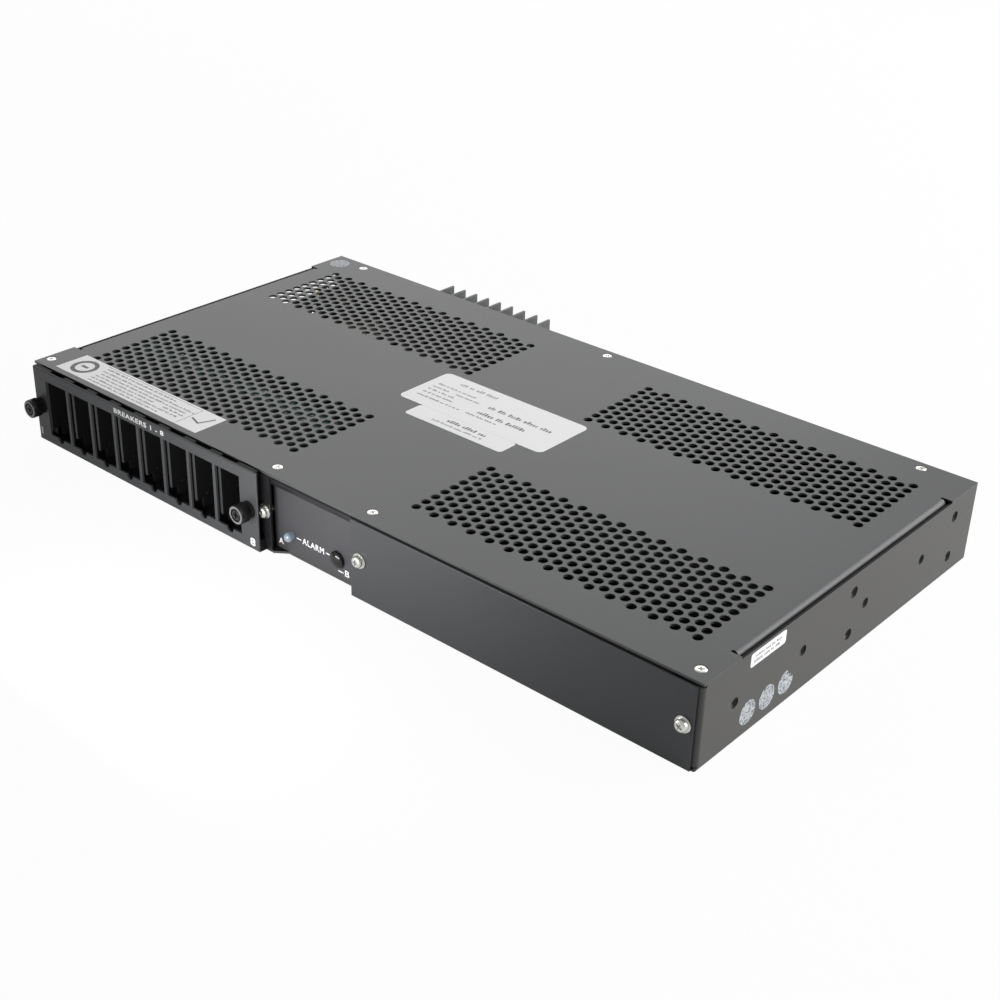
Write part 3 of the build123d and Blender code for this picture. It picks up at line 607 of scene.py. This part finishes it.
# %% Copy a head to its places
def copy_to(heads, places, facing):
    whole = bmesh.new()
    stamp = bpy.data.meshes.new("stamp")
    heads.to_mesh(stamp)
    heads.free()
    for index, place in enumerate(places):
        known = len(whole.verts)
        whole.from_mesh(stamp)
        whole.verts.ensure_lookup_table()
        fresh = whole.verts[known:]
        spot = Matrix.Translation(place) @ facing @ Matrix.Rotation(0.4 + 1.13 * index, 4, "Z")
        bmesh.ops.transform(whole, matrix=spot, verts=fresh)
    bpy.data.meshes.remove(stamp)
    return whole


UPWARD = Matrix.Identity(4)
FORWARD = Matrix.Rotation(radians(90), 4, "X")
FLAT_HEAD = [(1.7, 0.0), (2.35, -0.04), (2.58, -0.22), (1.5, -1.2), (1.4, -5.0)]
PAN_HEAD = [(1.7, 2.15), (2.2, 2.05), (2.7, 1.65), (2.95, 1.05), (3.0, 0.0), (1.4, 0.0), (1.4, -5.5)]
TERMINAL_HEAD = [(1.9, 2.3), (2.5, 2.2), (2.9, 1.9), (3.1, 1.4), (3.1, 0.0), (1.5, 0.0)]

heads = turned_head(FLAT_HEAD, 1.4, 0.4, 0.9)
settle(copy_to(heads, [(x, y, HEIGHT) for x, y in COVER_SCREWS], UPWARD),
       "cover_screw_heads", ZINC, instead_of=("cover_screws",))

# %% Front screws with their washers
FRONT_SCREWS = [(-34.65, 0.0), (30.0, -1.2), (207.9, -1.2)]
heads = turned_head(PAN_HEAD, 1.5, 0.38, 1.3)
settle(copy_to(heads, [(x, y - 0.8, SCREW_Z) for x, y in FRONT_SCREWS], FORWARD),
       "front_screw_heads", ZINC, instead_of=("front_screws",))


def washer(outer, inner, thickness):
    bm = bmesh.new()
    ring = bmesh.ops.create_circle(bm, cap_ends=False, segments=40, radius=outer)
    rim = list({edge for vert in ring["verts"] for edge in vert.link_edges})
    for rise, share in ((thickness * 0.7, 1.0), (thickness * 0.3, 0.95), (0.0, inner / outer / 0.95),
                        (-thickness, 1.0)):
        rim = pull(bm, rim, rise, share)
    bmesh.ops.bridge_loops(bm, edges=rim + [e for e in bm.edges if e.is_boundary and e not in rim])
    bmesh.ops.recalc_face_normals(bm, faces=bm.faces)
    return bm


settle(copy_to(washer(3.8, 1.55, 0.8), [(x, y, SCREW_Z) for x, y in FRONT_SCREWS], FORWARD),
       "front_screw_washers", ZINC, instead_of=("front_washers",))

# %% Terminal screws
TERMINALS = [-99.25 + (i - 3.5) * 9.35 for i in range(8)]
for name, y, z in (("output_screws", 234.0, 25.2), ("strap_screws", 214.0, 26.7)):
    heads = turned_head(TERMINAL_HEAD, 2.0, 0.45, 1.2, 24)
    settle(copy_to(heads, [(x, y, z) for x in TERMINALS], UPWARD),
           name + "_cross", ZINC, instead_of=(name,))

# %% [markdown]
# ## Thumbscrews
#
# Two captive thumbscrews hold the bezel. Each is a blackened, finely fluted knob whose
# face has a pale worn ring, a turned groove and a cross recess. The flutes are made on
# the widest rings by pulling every second vertex inwards.

# %% Fluted knob
def thumbscrew(x):
    bm = bmesh.new()
    segments = 96
    cross = cross_loop(bm, 1.75, 0.42)
    ring = bmesh.ops.create_circle(bm, cap_ends=False, segments=segments, radius=2.5)
    rim = list({edge for vert in ring["verts"] for edge in vert.link_edges})
    bmesh.ops.edgeloop_fill(bm, edges=pull(bm, cross, -1.5, 0.6))
    bmesh.ops.bridge_loops(bm, edges=cross + rim)
    radius, height = 2.5, 0.0
    steps = [(2.7, -0.15), (2.8, -0.7), (3.3, -0.7), (3.45, 0.0), (4.3, 0.0), (4.75, -0.2),
             (4.95, -0.6), (4.95, -5.1), (4.75, -5.5), (3.6, -5.6), (2.0, -5.6), (2.0, -16.2)]
    for next_radius, next_height in steps:
        rim = pull(bm, rim, next_height - height, next_radius / radius)
        if (next_radius, next_height) in ((4.95, -0.6), (4.95, -5.1)):
            round_about = sorted({v for e in rim for v in e.verts}, key=lambda v: v.co.xy.angle_signed(Vector((1, 0))))
            for vert in round_about[::2]:
                vert.co.x *= 0.955
                vert.co.y *= 0.955
        radius, height = next_radius, next_height
    bmesh.ops.edgeloop_fill(bm, edges=rim)
    bmesh.ops.recalc_face_normals(bm, faces=bm.faces)
    spot = Matrix.Translation((x, -12.7, THUMB_Z)) @ FORWARD
    bmesh.ops.transform(bm, matrix=spot, verts=bm.verts)
    return bm


for side, x in zip(("left", "right"), THUMB_XS):
    settle(thumbscrew(x), "fluted_thumbscrew_" + side, BLACK_OXIDE, body=side + "_thumbscrew",
           instead_of=("thumbscrew_" + side,), smooth=50.0)
    worn = washer(4.42, 3.42, 0.06)
    bmesh.ops.transform(worn, matrix=Matrix.Translation((x, -12.7, THUMB_Z)) @ FORWARD, verts=worn.verts)
    settle(worn, "worn_face_" + side, WORN_OXIDE, body=side + "_thumbscrew")

# %% [markdown]
# ## Lamp and plug of the alarm panel
#
# Lamp A is a small clouded dome, and place B is closed by a glossy black plug. Both
# are domes on a short collar, made by pulling a circle along a quarter round.

# %% Domes
def dome(radius, collar, rise, sleeve, segments=40):
    bm = bmesh.new()
    ring = bmesh.ops.create_circle(bm, cap_ends=False, segments=segments, radius=radius)
    rim = list({edge for vert in ring["verts"] for edge in vert.link_edges})
    low = pull(bm, rim, -sleeve, 1.0)
    bmesh.ops.edgeloop_fill(bm, edges=low)
    rim = pull(bm, rim, collar, 1.0)
    steps = 10
    for step in range(1, steps):
        before, now = (step - 1) / steps * pi / 2, step / steps * pi / 2
        rim = pull(bm, rim, rise * (sin(now) - sin(before)), cos(now) / cos(before))
    bmesh.ops.edgeloop_fill(bm, edges=rim)
    bmesh.ops.recalc_face_normals(bm, faces=bm.faces)
    return bm


lamp = dome(2.45, 2.0, 2.15, 5.1)
bmesh.ops.transform(lamp, matrix=Matrix.Translation((-21.6, 4.5, 10.8)) @ FORWARD, verts=lamp.verts)
settle(lamp, "alarm_lamp_dome", LENS, instead_of=("alarm_lamp_a",), smooth=50.0)
plug = dome(4.4, 0.7, 2.25, 0.0)
bmesh.ops.transform(plug, matrix=Matrix.Translation((9.8, 4.5, 10.8)) @ FORWARD, verts=plug.verts)
settle(plug, "alarm_plug_dome", GLOSS_PLUG, instead_of=("alarm_plug_b",), smooth=50.0)

# %% [markdown]
# ## Small pieces seen at the edges
#
# A narrow green board lies over the contacts and shows through the perforation, with
# a joint at each lead whose matt near-white colour is a painted glint of the solder.
# Above the alarm recess the top rail turns down, and its lip shows as a band under the
# cover's edge, coated near black as painted shade.

# %% Board over the contacts, and the rail's lip
def slab(bm, x0, x1, y0, y1, z0, z1):
    middle = Vector(((x0 + x1) / 2, (y0 + y1) / 2, (z0 + z1) / 2))
    size = Matrix.Diagonal((x1 - x0, y1 - y0, z1 - z0, 1))
    bmesh.ops.create_cube(bm, size=1.0, matrix=Matrix.Translation(middle) @ size)


board = bmesh.new()
slab(board, -199, -49, 51.5, 64.5, 38.85, 39.75)
settle(board, "lead_board", BOARD)
joints = bmesh.new()
dice = random.Random(4)
for number in range(60):
    spot = Matrix.Translation((dice.uniform(-197, -51), dice.choice((53.5, 57.0, 60.5, 63.0)), 39.95))
    bmesh.ops.create_cone(joints, cap_ends=True, segments=8, radius1=1.3, radius2=0.5, depth=0.5, matrix=spot)
# the joints' near-white colour is a painted glint of the solder
settle(joints, "lead_joints", SOLDER_GLINT)

lip = bmesh.new()
slab(lip, -30.4, 23.8, 0.2, 1.2, 37.2, 40.7)
bmesh.ops.bevel(lip, geom=lip.edges[:], offset=0.3, offset_type="OFFSET", affect="EDGES", segments=2,
                profile=0.5, material=-1, clamp_overlap=True)
# the lip is coated near black as painted shade under the cover's edge
settle(lip, "recess_lip", STRIP_SHADE)

# %% [markdown]
# ## Lettering
#
# The bezel numbers its first and last slot, and the alarm panel names its two lamps.
# Text is turned into a mesh before it is laid on its sheet, so that the object itself
# stays at the origin. The letters are made bold by laying them four times, each a
# little to the side, as widening their outline would close the small ones.

# %% Words laid on a face
def letters(name, words, x, y, z, tall, wide, finish, bold=0.085):
    curve = bpy.data.curves.new(name, "FONT")
    curve.body = words
    curve.size = 1.45 * tall
    curve.extrude = 0.015
    curve.space_character = 1.14
    carrier = bpy.data.objects.new(name, curve)
    bpy.context.scene.collection.objects.link(carrier)
    bpy.context.view_layer.update()
    mesh = bpy.data.meshes.new_from_object(carrier.evaluated_get(bpy.context.evaluated_depsgraph_get()))
    bpy.data.objects.remove(carrier)
    bm = bmesh.new()
    bm.from_mesh(mesh)
    bpy.data.meshes.remove(mesh)
    thin = bm.verts[:] + bm.edges[:] + bm.faces[:]
    for step, (right, up) in enumerate(((1, 0), (1, 1), (0, 1))):
        again = bmesh.ops.duplicate(bm, geom=thin)
        verts = [g for g in again["geom"] if isinstance(g, bmesh.types.BMVert)]
        bmesh.ops.translate(bm, vec=(bold * tall * right, bold * tall * up, 0.003 * (step + 1)), verts=verts)
    xs = [v.co.x for v in bm.verts]
    ys = [v.co.y for v in bm.verts]
    middle = Vector(((min(xs) + max(xs)) / 2, (min(ys) + max(ys)) / 2, 0))
    bmesh.ops.translate(bm, vec=-middle, verts=bm.verts)
    fit = Matrix.Diagonal((wide / (max(xs) - min(xs)), tall / (max(ys) - min(ys)), 1, 1))
    bmesh.ops.transform(bm, matrix=Matrix.Translation((x, y, z)) @ FORWARD @ fit, verts=bm.verts)
    return settle(bm, name, finish)


letters("number_first", "1", -208.0, -4.62, 5.6, 4.0, 1.3, INK_WHITE)
letters("number_last", "8", -39.1, -4.62, 4.3, 4.2, 3.5, INK_WHITE)
letters("word_breakers", "BREAKERS 1 - 8", -121.9, -4.62, 39.7, 2.7, 39.3, INK_WHITE)
letters("letter_a", "A", -29.0, 4.48, 5.3, 3.0, 3.0, INK_WHITE, 0.05)
letters("word_alarm", "ALARM", -6.7, 4.48, 11.2, 3.3, 14.6, INK_WHITE, 0.05)
letters("letter_b", "B", 15.8, 4.48, 5.3, 3.3, 2.8, INK_WHITE, 0.05)

# %% Thin printed bars
UPWARD_PRINT = Matrix.Identity(4)


def bar(bm, x0, x1, y0, y1, lift, facing=UPWARD_PRINT):
    verts = bmesh.ops.create_grid(bm, x_segments=1, y_segments=1, size=0.5)["verts"]
    size = Matrix.Diagonal((x1 - x0, y1 - y0, 1, 1))
    place = Matrix.Translation(((x0 + x1) / 2, (y0 + y1) / 2, lift))
    bmesh.ops.transform(bm, matrix=facing @ place @ size, verts=verts)


bars = bmesh.new()
for x0, x1, z in ((-18.1, -14.9, 11.1), (1.9, 5.0, 11.0), (9.9, 13.6, 4.9)):
    bar(bars, x0, x1, z - 0.3, z + 0.3, 0.0, Matrix.Translation((0, 4.46, 0)) @ FORWARD)
settle(bars, "alarm_dashes", INK_WHITE)

# %% [markdown]
# ## Labels
#
# Two overlapping labels lie in the middle of the cover, a long one runs along the
# front edge at the left, and a small one is on the right wall. Each is a thin sheet
# with rounded corners: a rectangle whose corner vertices are bevelled, then extruded.

# %% A label with rounded corners
SIDEWAYS = Matrix.Rotation(radians(90), 4, "Z") @ Matrix.Rotation(radians(90), 4, "X")
RIGHT_WALL = Matrix.Translation((WIDTH / 2, 0, 0)) @ SIDEWAYS


def label(name, x0, x1, y0, y1, corner, z, finish, thick=0.08, facing=UPWARD_PRINT):
    bm = bmesh.new()
    bm.faces.new([bm.verts.new(p) for p in ((x0, y0, z), (x1, y0, z), (x1, y1, z), (x0, y1, z))])
    if corner:
        bmesh.ops.bevel(bm, geom=bm.verts[:], offset=corner, offset_type="OFFSET", affect="VERTICES",
                        segments=8, profile=0.5, material=-1, clamp_overlap=True)
    out = bmesh.ops.extrude_face_region(bm, geom=bm.faces[:], use_keep_orig=True)
    verts = [g for g in out["geom"] if isinstance(g, bmesh.types.BMVert)]
    bmesh.ops.translate(bm, vec=(0, 0, thick), verts=verts)
    bmesh.ops.recalc_face_normals(bm, faces=bm.faces)
    bmesh.ops.transform(bm, matrix=facing, verts=bm.verts)
    return settle(bm, name, finish)


label("label_rating", -48, 47, 103.7, 142, 3.5, HEIGHT, LABEL)
label("label_lower", -31.5, 32.5, 91, 103.6, 2.0, HEIGHT, LABEL, 0.06)
label("label_front", -201, -88, 3.5, 23.5, 0, HEIGHT, LABEL)
label("label_side", 32.5, 58.2, 33.2, 39.8, 1.2, 0, LABEL, 0.08, RIGHT_WALL)

# %% [markdown]
# ## Print on the labels
#
# The small print is too fine to read from any distance, so it is set as rows of
# strokes with the rhythm of words: a few letter-wide strokes, a gap, and so on. The
# strokes are drawn from a seeded dice, so the print is the same each time.

# %% Rows of small print
def text_row(bm, dice, x0, x1, y, tall, lift, facing=UPWARD_PRINT):
    x = x0
    while x < x1 - tall:
        for _ in range(dice.randint(2, 8)):
            wide = tall * dice.uniform(0.30, 0.55)
            high = tall * dice.choice((0.68, 0.68, 1.0))
            if x + wide < x1:
                bar(bm, x, x + wide, y, y + high, lift, facing)
            x += wide + tall * 0.2
        x += tall * 0.6


def print_rows(name, rows, lift, finish, seed, facing=UPWARD_PRINT):
    dice = random.Random(seed)
    bm = bmesh.new()
    for x0, x1, y, tall in rows:
        text_row(bm, dice, x0, x1, y, tall, lift, facing)
    return settle(bm, name, finish)


PRINTED = HEIGHT + 0.088
print_rows("print_heading", [(-33, -8, 134.4, 2.6)], PRINTED, INK_PALE, 3)
print_rows("print_small", [
    (-42.5, -16.5, 127.8, 1.4), (-42.5, -31, 123.8, 1.4), (-26.7, -11, 124.0, 1.4), (-42.5, -24, 120.0, 1.4),
    (-42.5, -20, 116.0, 1.4), (-42.5, -12, 111.6, 1.4), (-9, 11, 111.8, 1.4),
], PRINTED, INK_GREY, 5)
print_rows("print_bold", [(-4.3, 37.2, 123.6, 2.9), (-4.7, 26.2, 115.6, 2.9)], PRINTED, INK_GREY, 8)
print_rows("print_lower", [(-9, 16, 98.0, 2.7)], PRINTED - 0.02, INK_GREY, 11)
print_rows("print_lower_small", [(-16, 17, 94.4, 1.6)], PRINTED - 0.02, INK_PALE, 12)
print_rows("print_front", [
    (-178, -122, 19.3, 1.4), (-178, -104, 16.3, 1.3), (-176, -108, 13.5, 1.3), (-177, -128, 10.7, 1.3),
    (-122, -106, 10.7, 1.3), (-177, -108, 7.9, 1.3), (-176, -118, 5.3, 1.2),
], PRINTED, INK_GREY, 17)
print_rows("print_side", [(36, 55, 37.0, 1.3), (35, 54, 34.7, 1.3)], 0.09, INK_GREY, 23, RIGHT_WALL)

# %% Frames and marks of the front label
marks = bmesh.new()
bar(marks, -180.5, -104, 22.0, 22.25, PRINTED)
bar(marks, -104.2, -103.9, 4.6, 22.2, PRINTED)
for start, end in (((-102.2, 13.6), (-95.0, 11.2)), ((-95.4, 11.0), (-91.6, 19.8))):
    run, rise = end[0] - start[0], end[1] - start[1]
    slant = Matrix.Translation((start[0], start[1], 0)) @ Matrix.Rotation(atan2(rise, run), 4, "Z")
    bar(marks, 0, hypot(run, rise), -0.55, 0.55, PRINTED + 0.002, slant)
bar(marks, -192.0, -186.8, 12.6, 14.4, PRINTED)
settle(marks, "front_label_marks", INK_BLACK)
ring = washer(7.6, 5.2, 0.01)
bmesh.ops.translate(ring, vec=(-189.4, 13.5, PRINTED), verts=ring.verts)
settle(ring, "front_label_ring", INK_BLACK)

# %% [markdown]
# ## Stickers
#
# Round stickers mark the tests that the unit has passed. One lies in the rear corner
# of the cover and three are on the right wall. The last of these is torn, so part of
# its rim is pulled inwards by uneven amounts.

# %% A round sticker
def sticker(name, radius, facing, torn_from=0.0, torn_to=0.0):
    dice = random.Random(31)
    bm = bmesh.new()
    bmesh.ops.create_circle(bm, cap_ends=True, segments=48, radius=radius)
    for vert in bm.verts:
        if torn_from < degrees(atan2(vert.co.y, vert.co.x)) < torn_to:
            vert.co *= dice.uniform(0.55, 0.9)
    out = bmesh.ops.extrude_face_region(bm, geom=bm.faces[:], use_keep_orig=True)
    verts = [g for g in out["geom"] if isinstance(g, bmesh.types.BMVert)]
    bmesh.ops.translate(bm, vec=(0, 0, 0.05), verts=verts)
    bmesh.ops.recalc_face_normals(bm, faces=bm.faces)
    bmesh.ops.transform(bm, matrix=facing, verts=bm.verts)
    return settle(bm, name, STICKER)


sticker("sticker_rear", 6.1, Matrix.Translation((-206, 214.5, HEIGHT)))
for number, y, z in ((1, 34.4, 11.1), (2, 48.5, 11.3), (3, 62.7, 11.5)):
    torn = (15.0, 75.0) if number == 3 else (0.0, 0.0)
    sticker("sticker_side_%d" % number, 5.7, RIGHT_WALL @ Matrix.Translation((y, z, 0)), *torn)

# %% [markdown]
# ## Threaded inserts
#
# The fixing holes of both side walls hold pressed-in inserts. Each is a short tube
# with ridges for its thread, made by pulling a circle in and out as it goes deeper.

# %% Inserts of the side walls
def insert(bore, outer):
    bm = bmesh.new()
    ring = bmesh.ops.create_circle(bm, cap_ends=False, segments=24, radius=outer)
    rim = list({edge for vert in ring["verts"] for edge in vert.link_edges})
    radius = outer
    for turn in range(9):
        goal = bore if turn % 2 == 0 else bore * 1.14
        rim = pull(bm, rim, -0.04 if turn == 0 else -0.42, goal / radius)
        radius = goal
    bmesh.ops.edgeloop_fill(bm, edges=rim)
    bmesh.ops.recalc_face_normals(bm, faces=bm.faces)
    bmesh.ops.reverse_faces(bm, faces=bm.faces)
    return bm


LEFT_WALL = Matrix.Translation((-WIDTH / 2, 0, 0)) @ Matrix.Rotation(pi, 4, "Z") @ SIDEWAYS
ROWS = [(23.6 + 50.8 * i, 21.2) for i in range(4)]
PAIRS = [(113.4, 32.0), (113.4, 10.4), (205.0, 32.0), (205.0, 10.4)]
for side, wall, flip, rows, pairs in (("right", RIGHT_WALL, 1, ROWS, PAIRS),
                                      ("left", LEFT_WALL, -1, ROWS[:3], PAIRS[:2] + PAIRS[3:])):
    for kind, places, bore, outer in (("row", rows, 1.9, 2.5), ("pair", pairs, 2.1, 2.75)):
        sunk = [wall @ Vector((flip * y, z, -0.7)) for y, z in places]
        settle(copy_to(insert(bore, outer), sunk, wall.to_3x3().to_4x4()),
               "inserts_%s_%s" % (kind, side), THREAD, smooth=40.0)

# %% [markdown]
# ## Finishes of the inner pieces
#
# What lies behind the perforation keeps its mesh from the frame and only gets its
# finish: bus bars, straps, contacts, boards and studs.

# %% Dress the remaining nodes
INNER = {
    "line_contacts": TINNED, "load_contacts": TINNED, "backplane_board": BOARD, "input_bar_a": TINNED,
    "input_bar_b": TINNED, "input_studs": BRASS, "input_washers": ZINC, "input_nuts": BRASS,
    "strap_insulator": IVORY, "insulator_posts": IVORY, "output_tabs": TINNED, "alarm_board": BOARD,
    "alarm_relay": GREY_PLASTIC, "earth_studs": ZINC, "earth_nuts": BRASS,
    "thumbscrew_ferrules": BLACK_OXIDE,
}
for number in range(1, 9):
    # the straps get darkened copper as painted shade
    INNER["load_strap_%d" % number] = COPPER_IN_SHADE
for node, finish in INNER.items():
    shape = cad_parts[node].data
    shape.materials.clear()
    shape.materials.append(finish.material)
print("dressed", len(INNER), "inner nodes")

# %% [markdown]
# ## Floor and light
#
# The object stands on white, so the floor and the world look white to the camera and
# to reflections, and light the object at a plain level otherwise. A large soft lamp
# at the rear left gives the cover its sheen, and a second at the front left falls off
# along the blank panel.

# %% Floor
floor_mesh = bmesh.new()
bmesh.ops.create_grid(floor_mesh, x_segments=1, y_segments=1, size=6.0)
floor_data = bpy.data.meshes.new("floor")
floor_mesh.to_mesh(floor_data)
floor_mesh.free()
floor = bpy.data.objects.new("floor", floor_data)
bpy.context.scene.collection.objects.link(floor)
FLOOR = Finish("studio_floor", (0.80, 0.80, 0.80), 0.9)
WHITE_SEEN = 0.965
WHITE_MIRRORED = 0.50
rays = FLOOR.add("ShaderNodeLightPath", {}, {})
seen = Wire(FLOOR, rays.socket.node.outputs["Is Camera Ray"])
mirrored = Wire(FLOOR, rays.socket.node.outputs["Is Glossy Ray"])
through = Wire(FLOOR, rays.socket.node.outputs["Is Transmission Ray"])
share = seen * WHITE_SEEN + (mirrored + through) * WHITE_MIRRORED
glow = FLOOR.add("ShaderNodeEmission", {}, {"Color": (1, 1, 1, 1), "Strength": 1.0})
skin = Wire(FLOOR, FLOOR.shader.outputs[0])
both = FLOOR.add("ShaderNodeMixShader", {}, {0: share, 1: skin, 2: glow})
FLOOR.tree.links.new(both.socket, FLOOR.tree.nodes["Material Output"].inputs["Surface"])
floor_data.materials.append(FLOOR.material)
print("floor placed")

# %% World
SKY_FILL = 0.04
SKY_MIRRORED = 0.50
world = bpy.data.worlds.new("studio")
world.use_nodes = True
bpy.context.scene.world = world
sky = world.node_tree
back = sky.nodes["Background"]
back.inputs["Color"].default_value = (1, 1, 1, 1)
path = sky.nodes.new("ShaderNodeLightPath")
mirror_level = sky.nodes.new("ShaderNodeMath")
mirror_level.operation = "MULTIPLY_ADD"
mirror_level.inputs[1].default_value = SKY_MIRRORED - SKY_FILL
mirror_level.inputs[2].default_value = SKY_FILL
sky.links.new(path.outputs["Is Glossy Ray"], mirror_level.inputs[0])
strength = sky.nodes.new("ShaderNodeMath")
strength.operation = "MAXIMUM"
sky.links.new(path.outputs["Is Camera Ray"], strength.inputs[0])
sky.links.new(mirror_level.outputs[0], strength.inputs[1])
sky.links.new(strength.outputs[0], back.inputs["Strength"])
bpy.context.scene.view_settings.view_transform = "Standard"


# %% Lamps
def soft_lamp(name, place, target, size, power):
    data = bpy.data.lights.new(name, "AREA")
    data.shape = "RECTANGLE"
    data.size, data.size_y = size
    data.energy = power
    lamp = bpy.data.objects.new(name, data)
    lamp.location = place
    lamp.rotation_euler = (Vector(target) - Vector(place)).to_track_quat("-Z", "Y").to_euler()
    bpy.context.scene.collection.objects.link(lamp)
    print("lamp", name, power, "W")


soft_lamp("rear_left", (-1.05, 1.0, 0.78), (-0.05, 0, 0), (1.6, 1.3), 9.0)
soft_lamp("rear_right", (0.7, 1.3, 0.8), (0.1, 0.05, 0), (1.6, 1.3), 22)
soft_lamp("right", (1.2, 0.45, 0.5), (0.2, 0.05, 0), (1.2, 0.9), 14.0)
soft_lamp("front_close", (0.0, -0.25, 0.055), (0.01, -0.11, 0.02), (0.12, 0.05), 0.30)
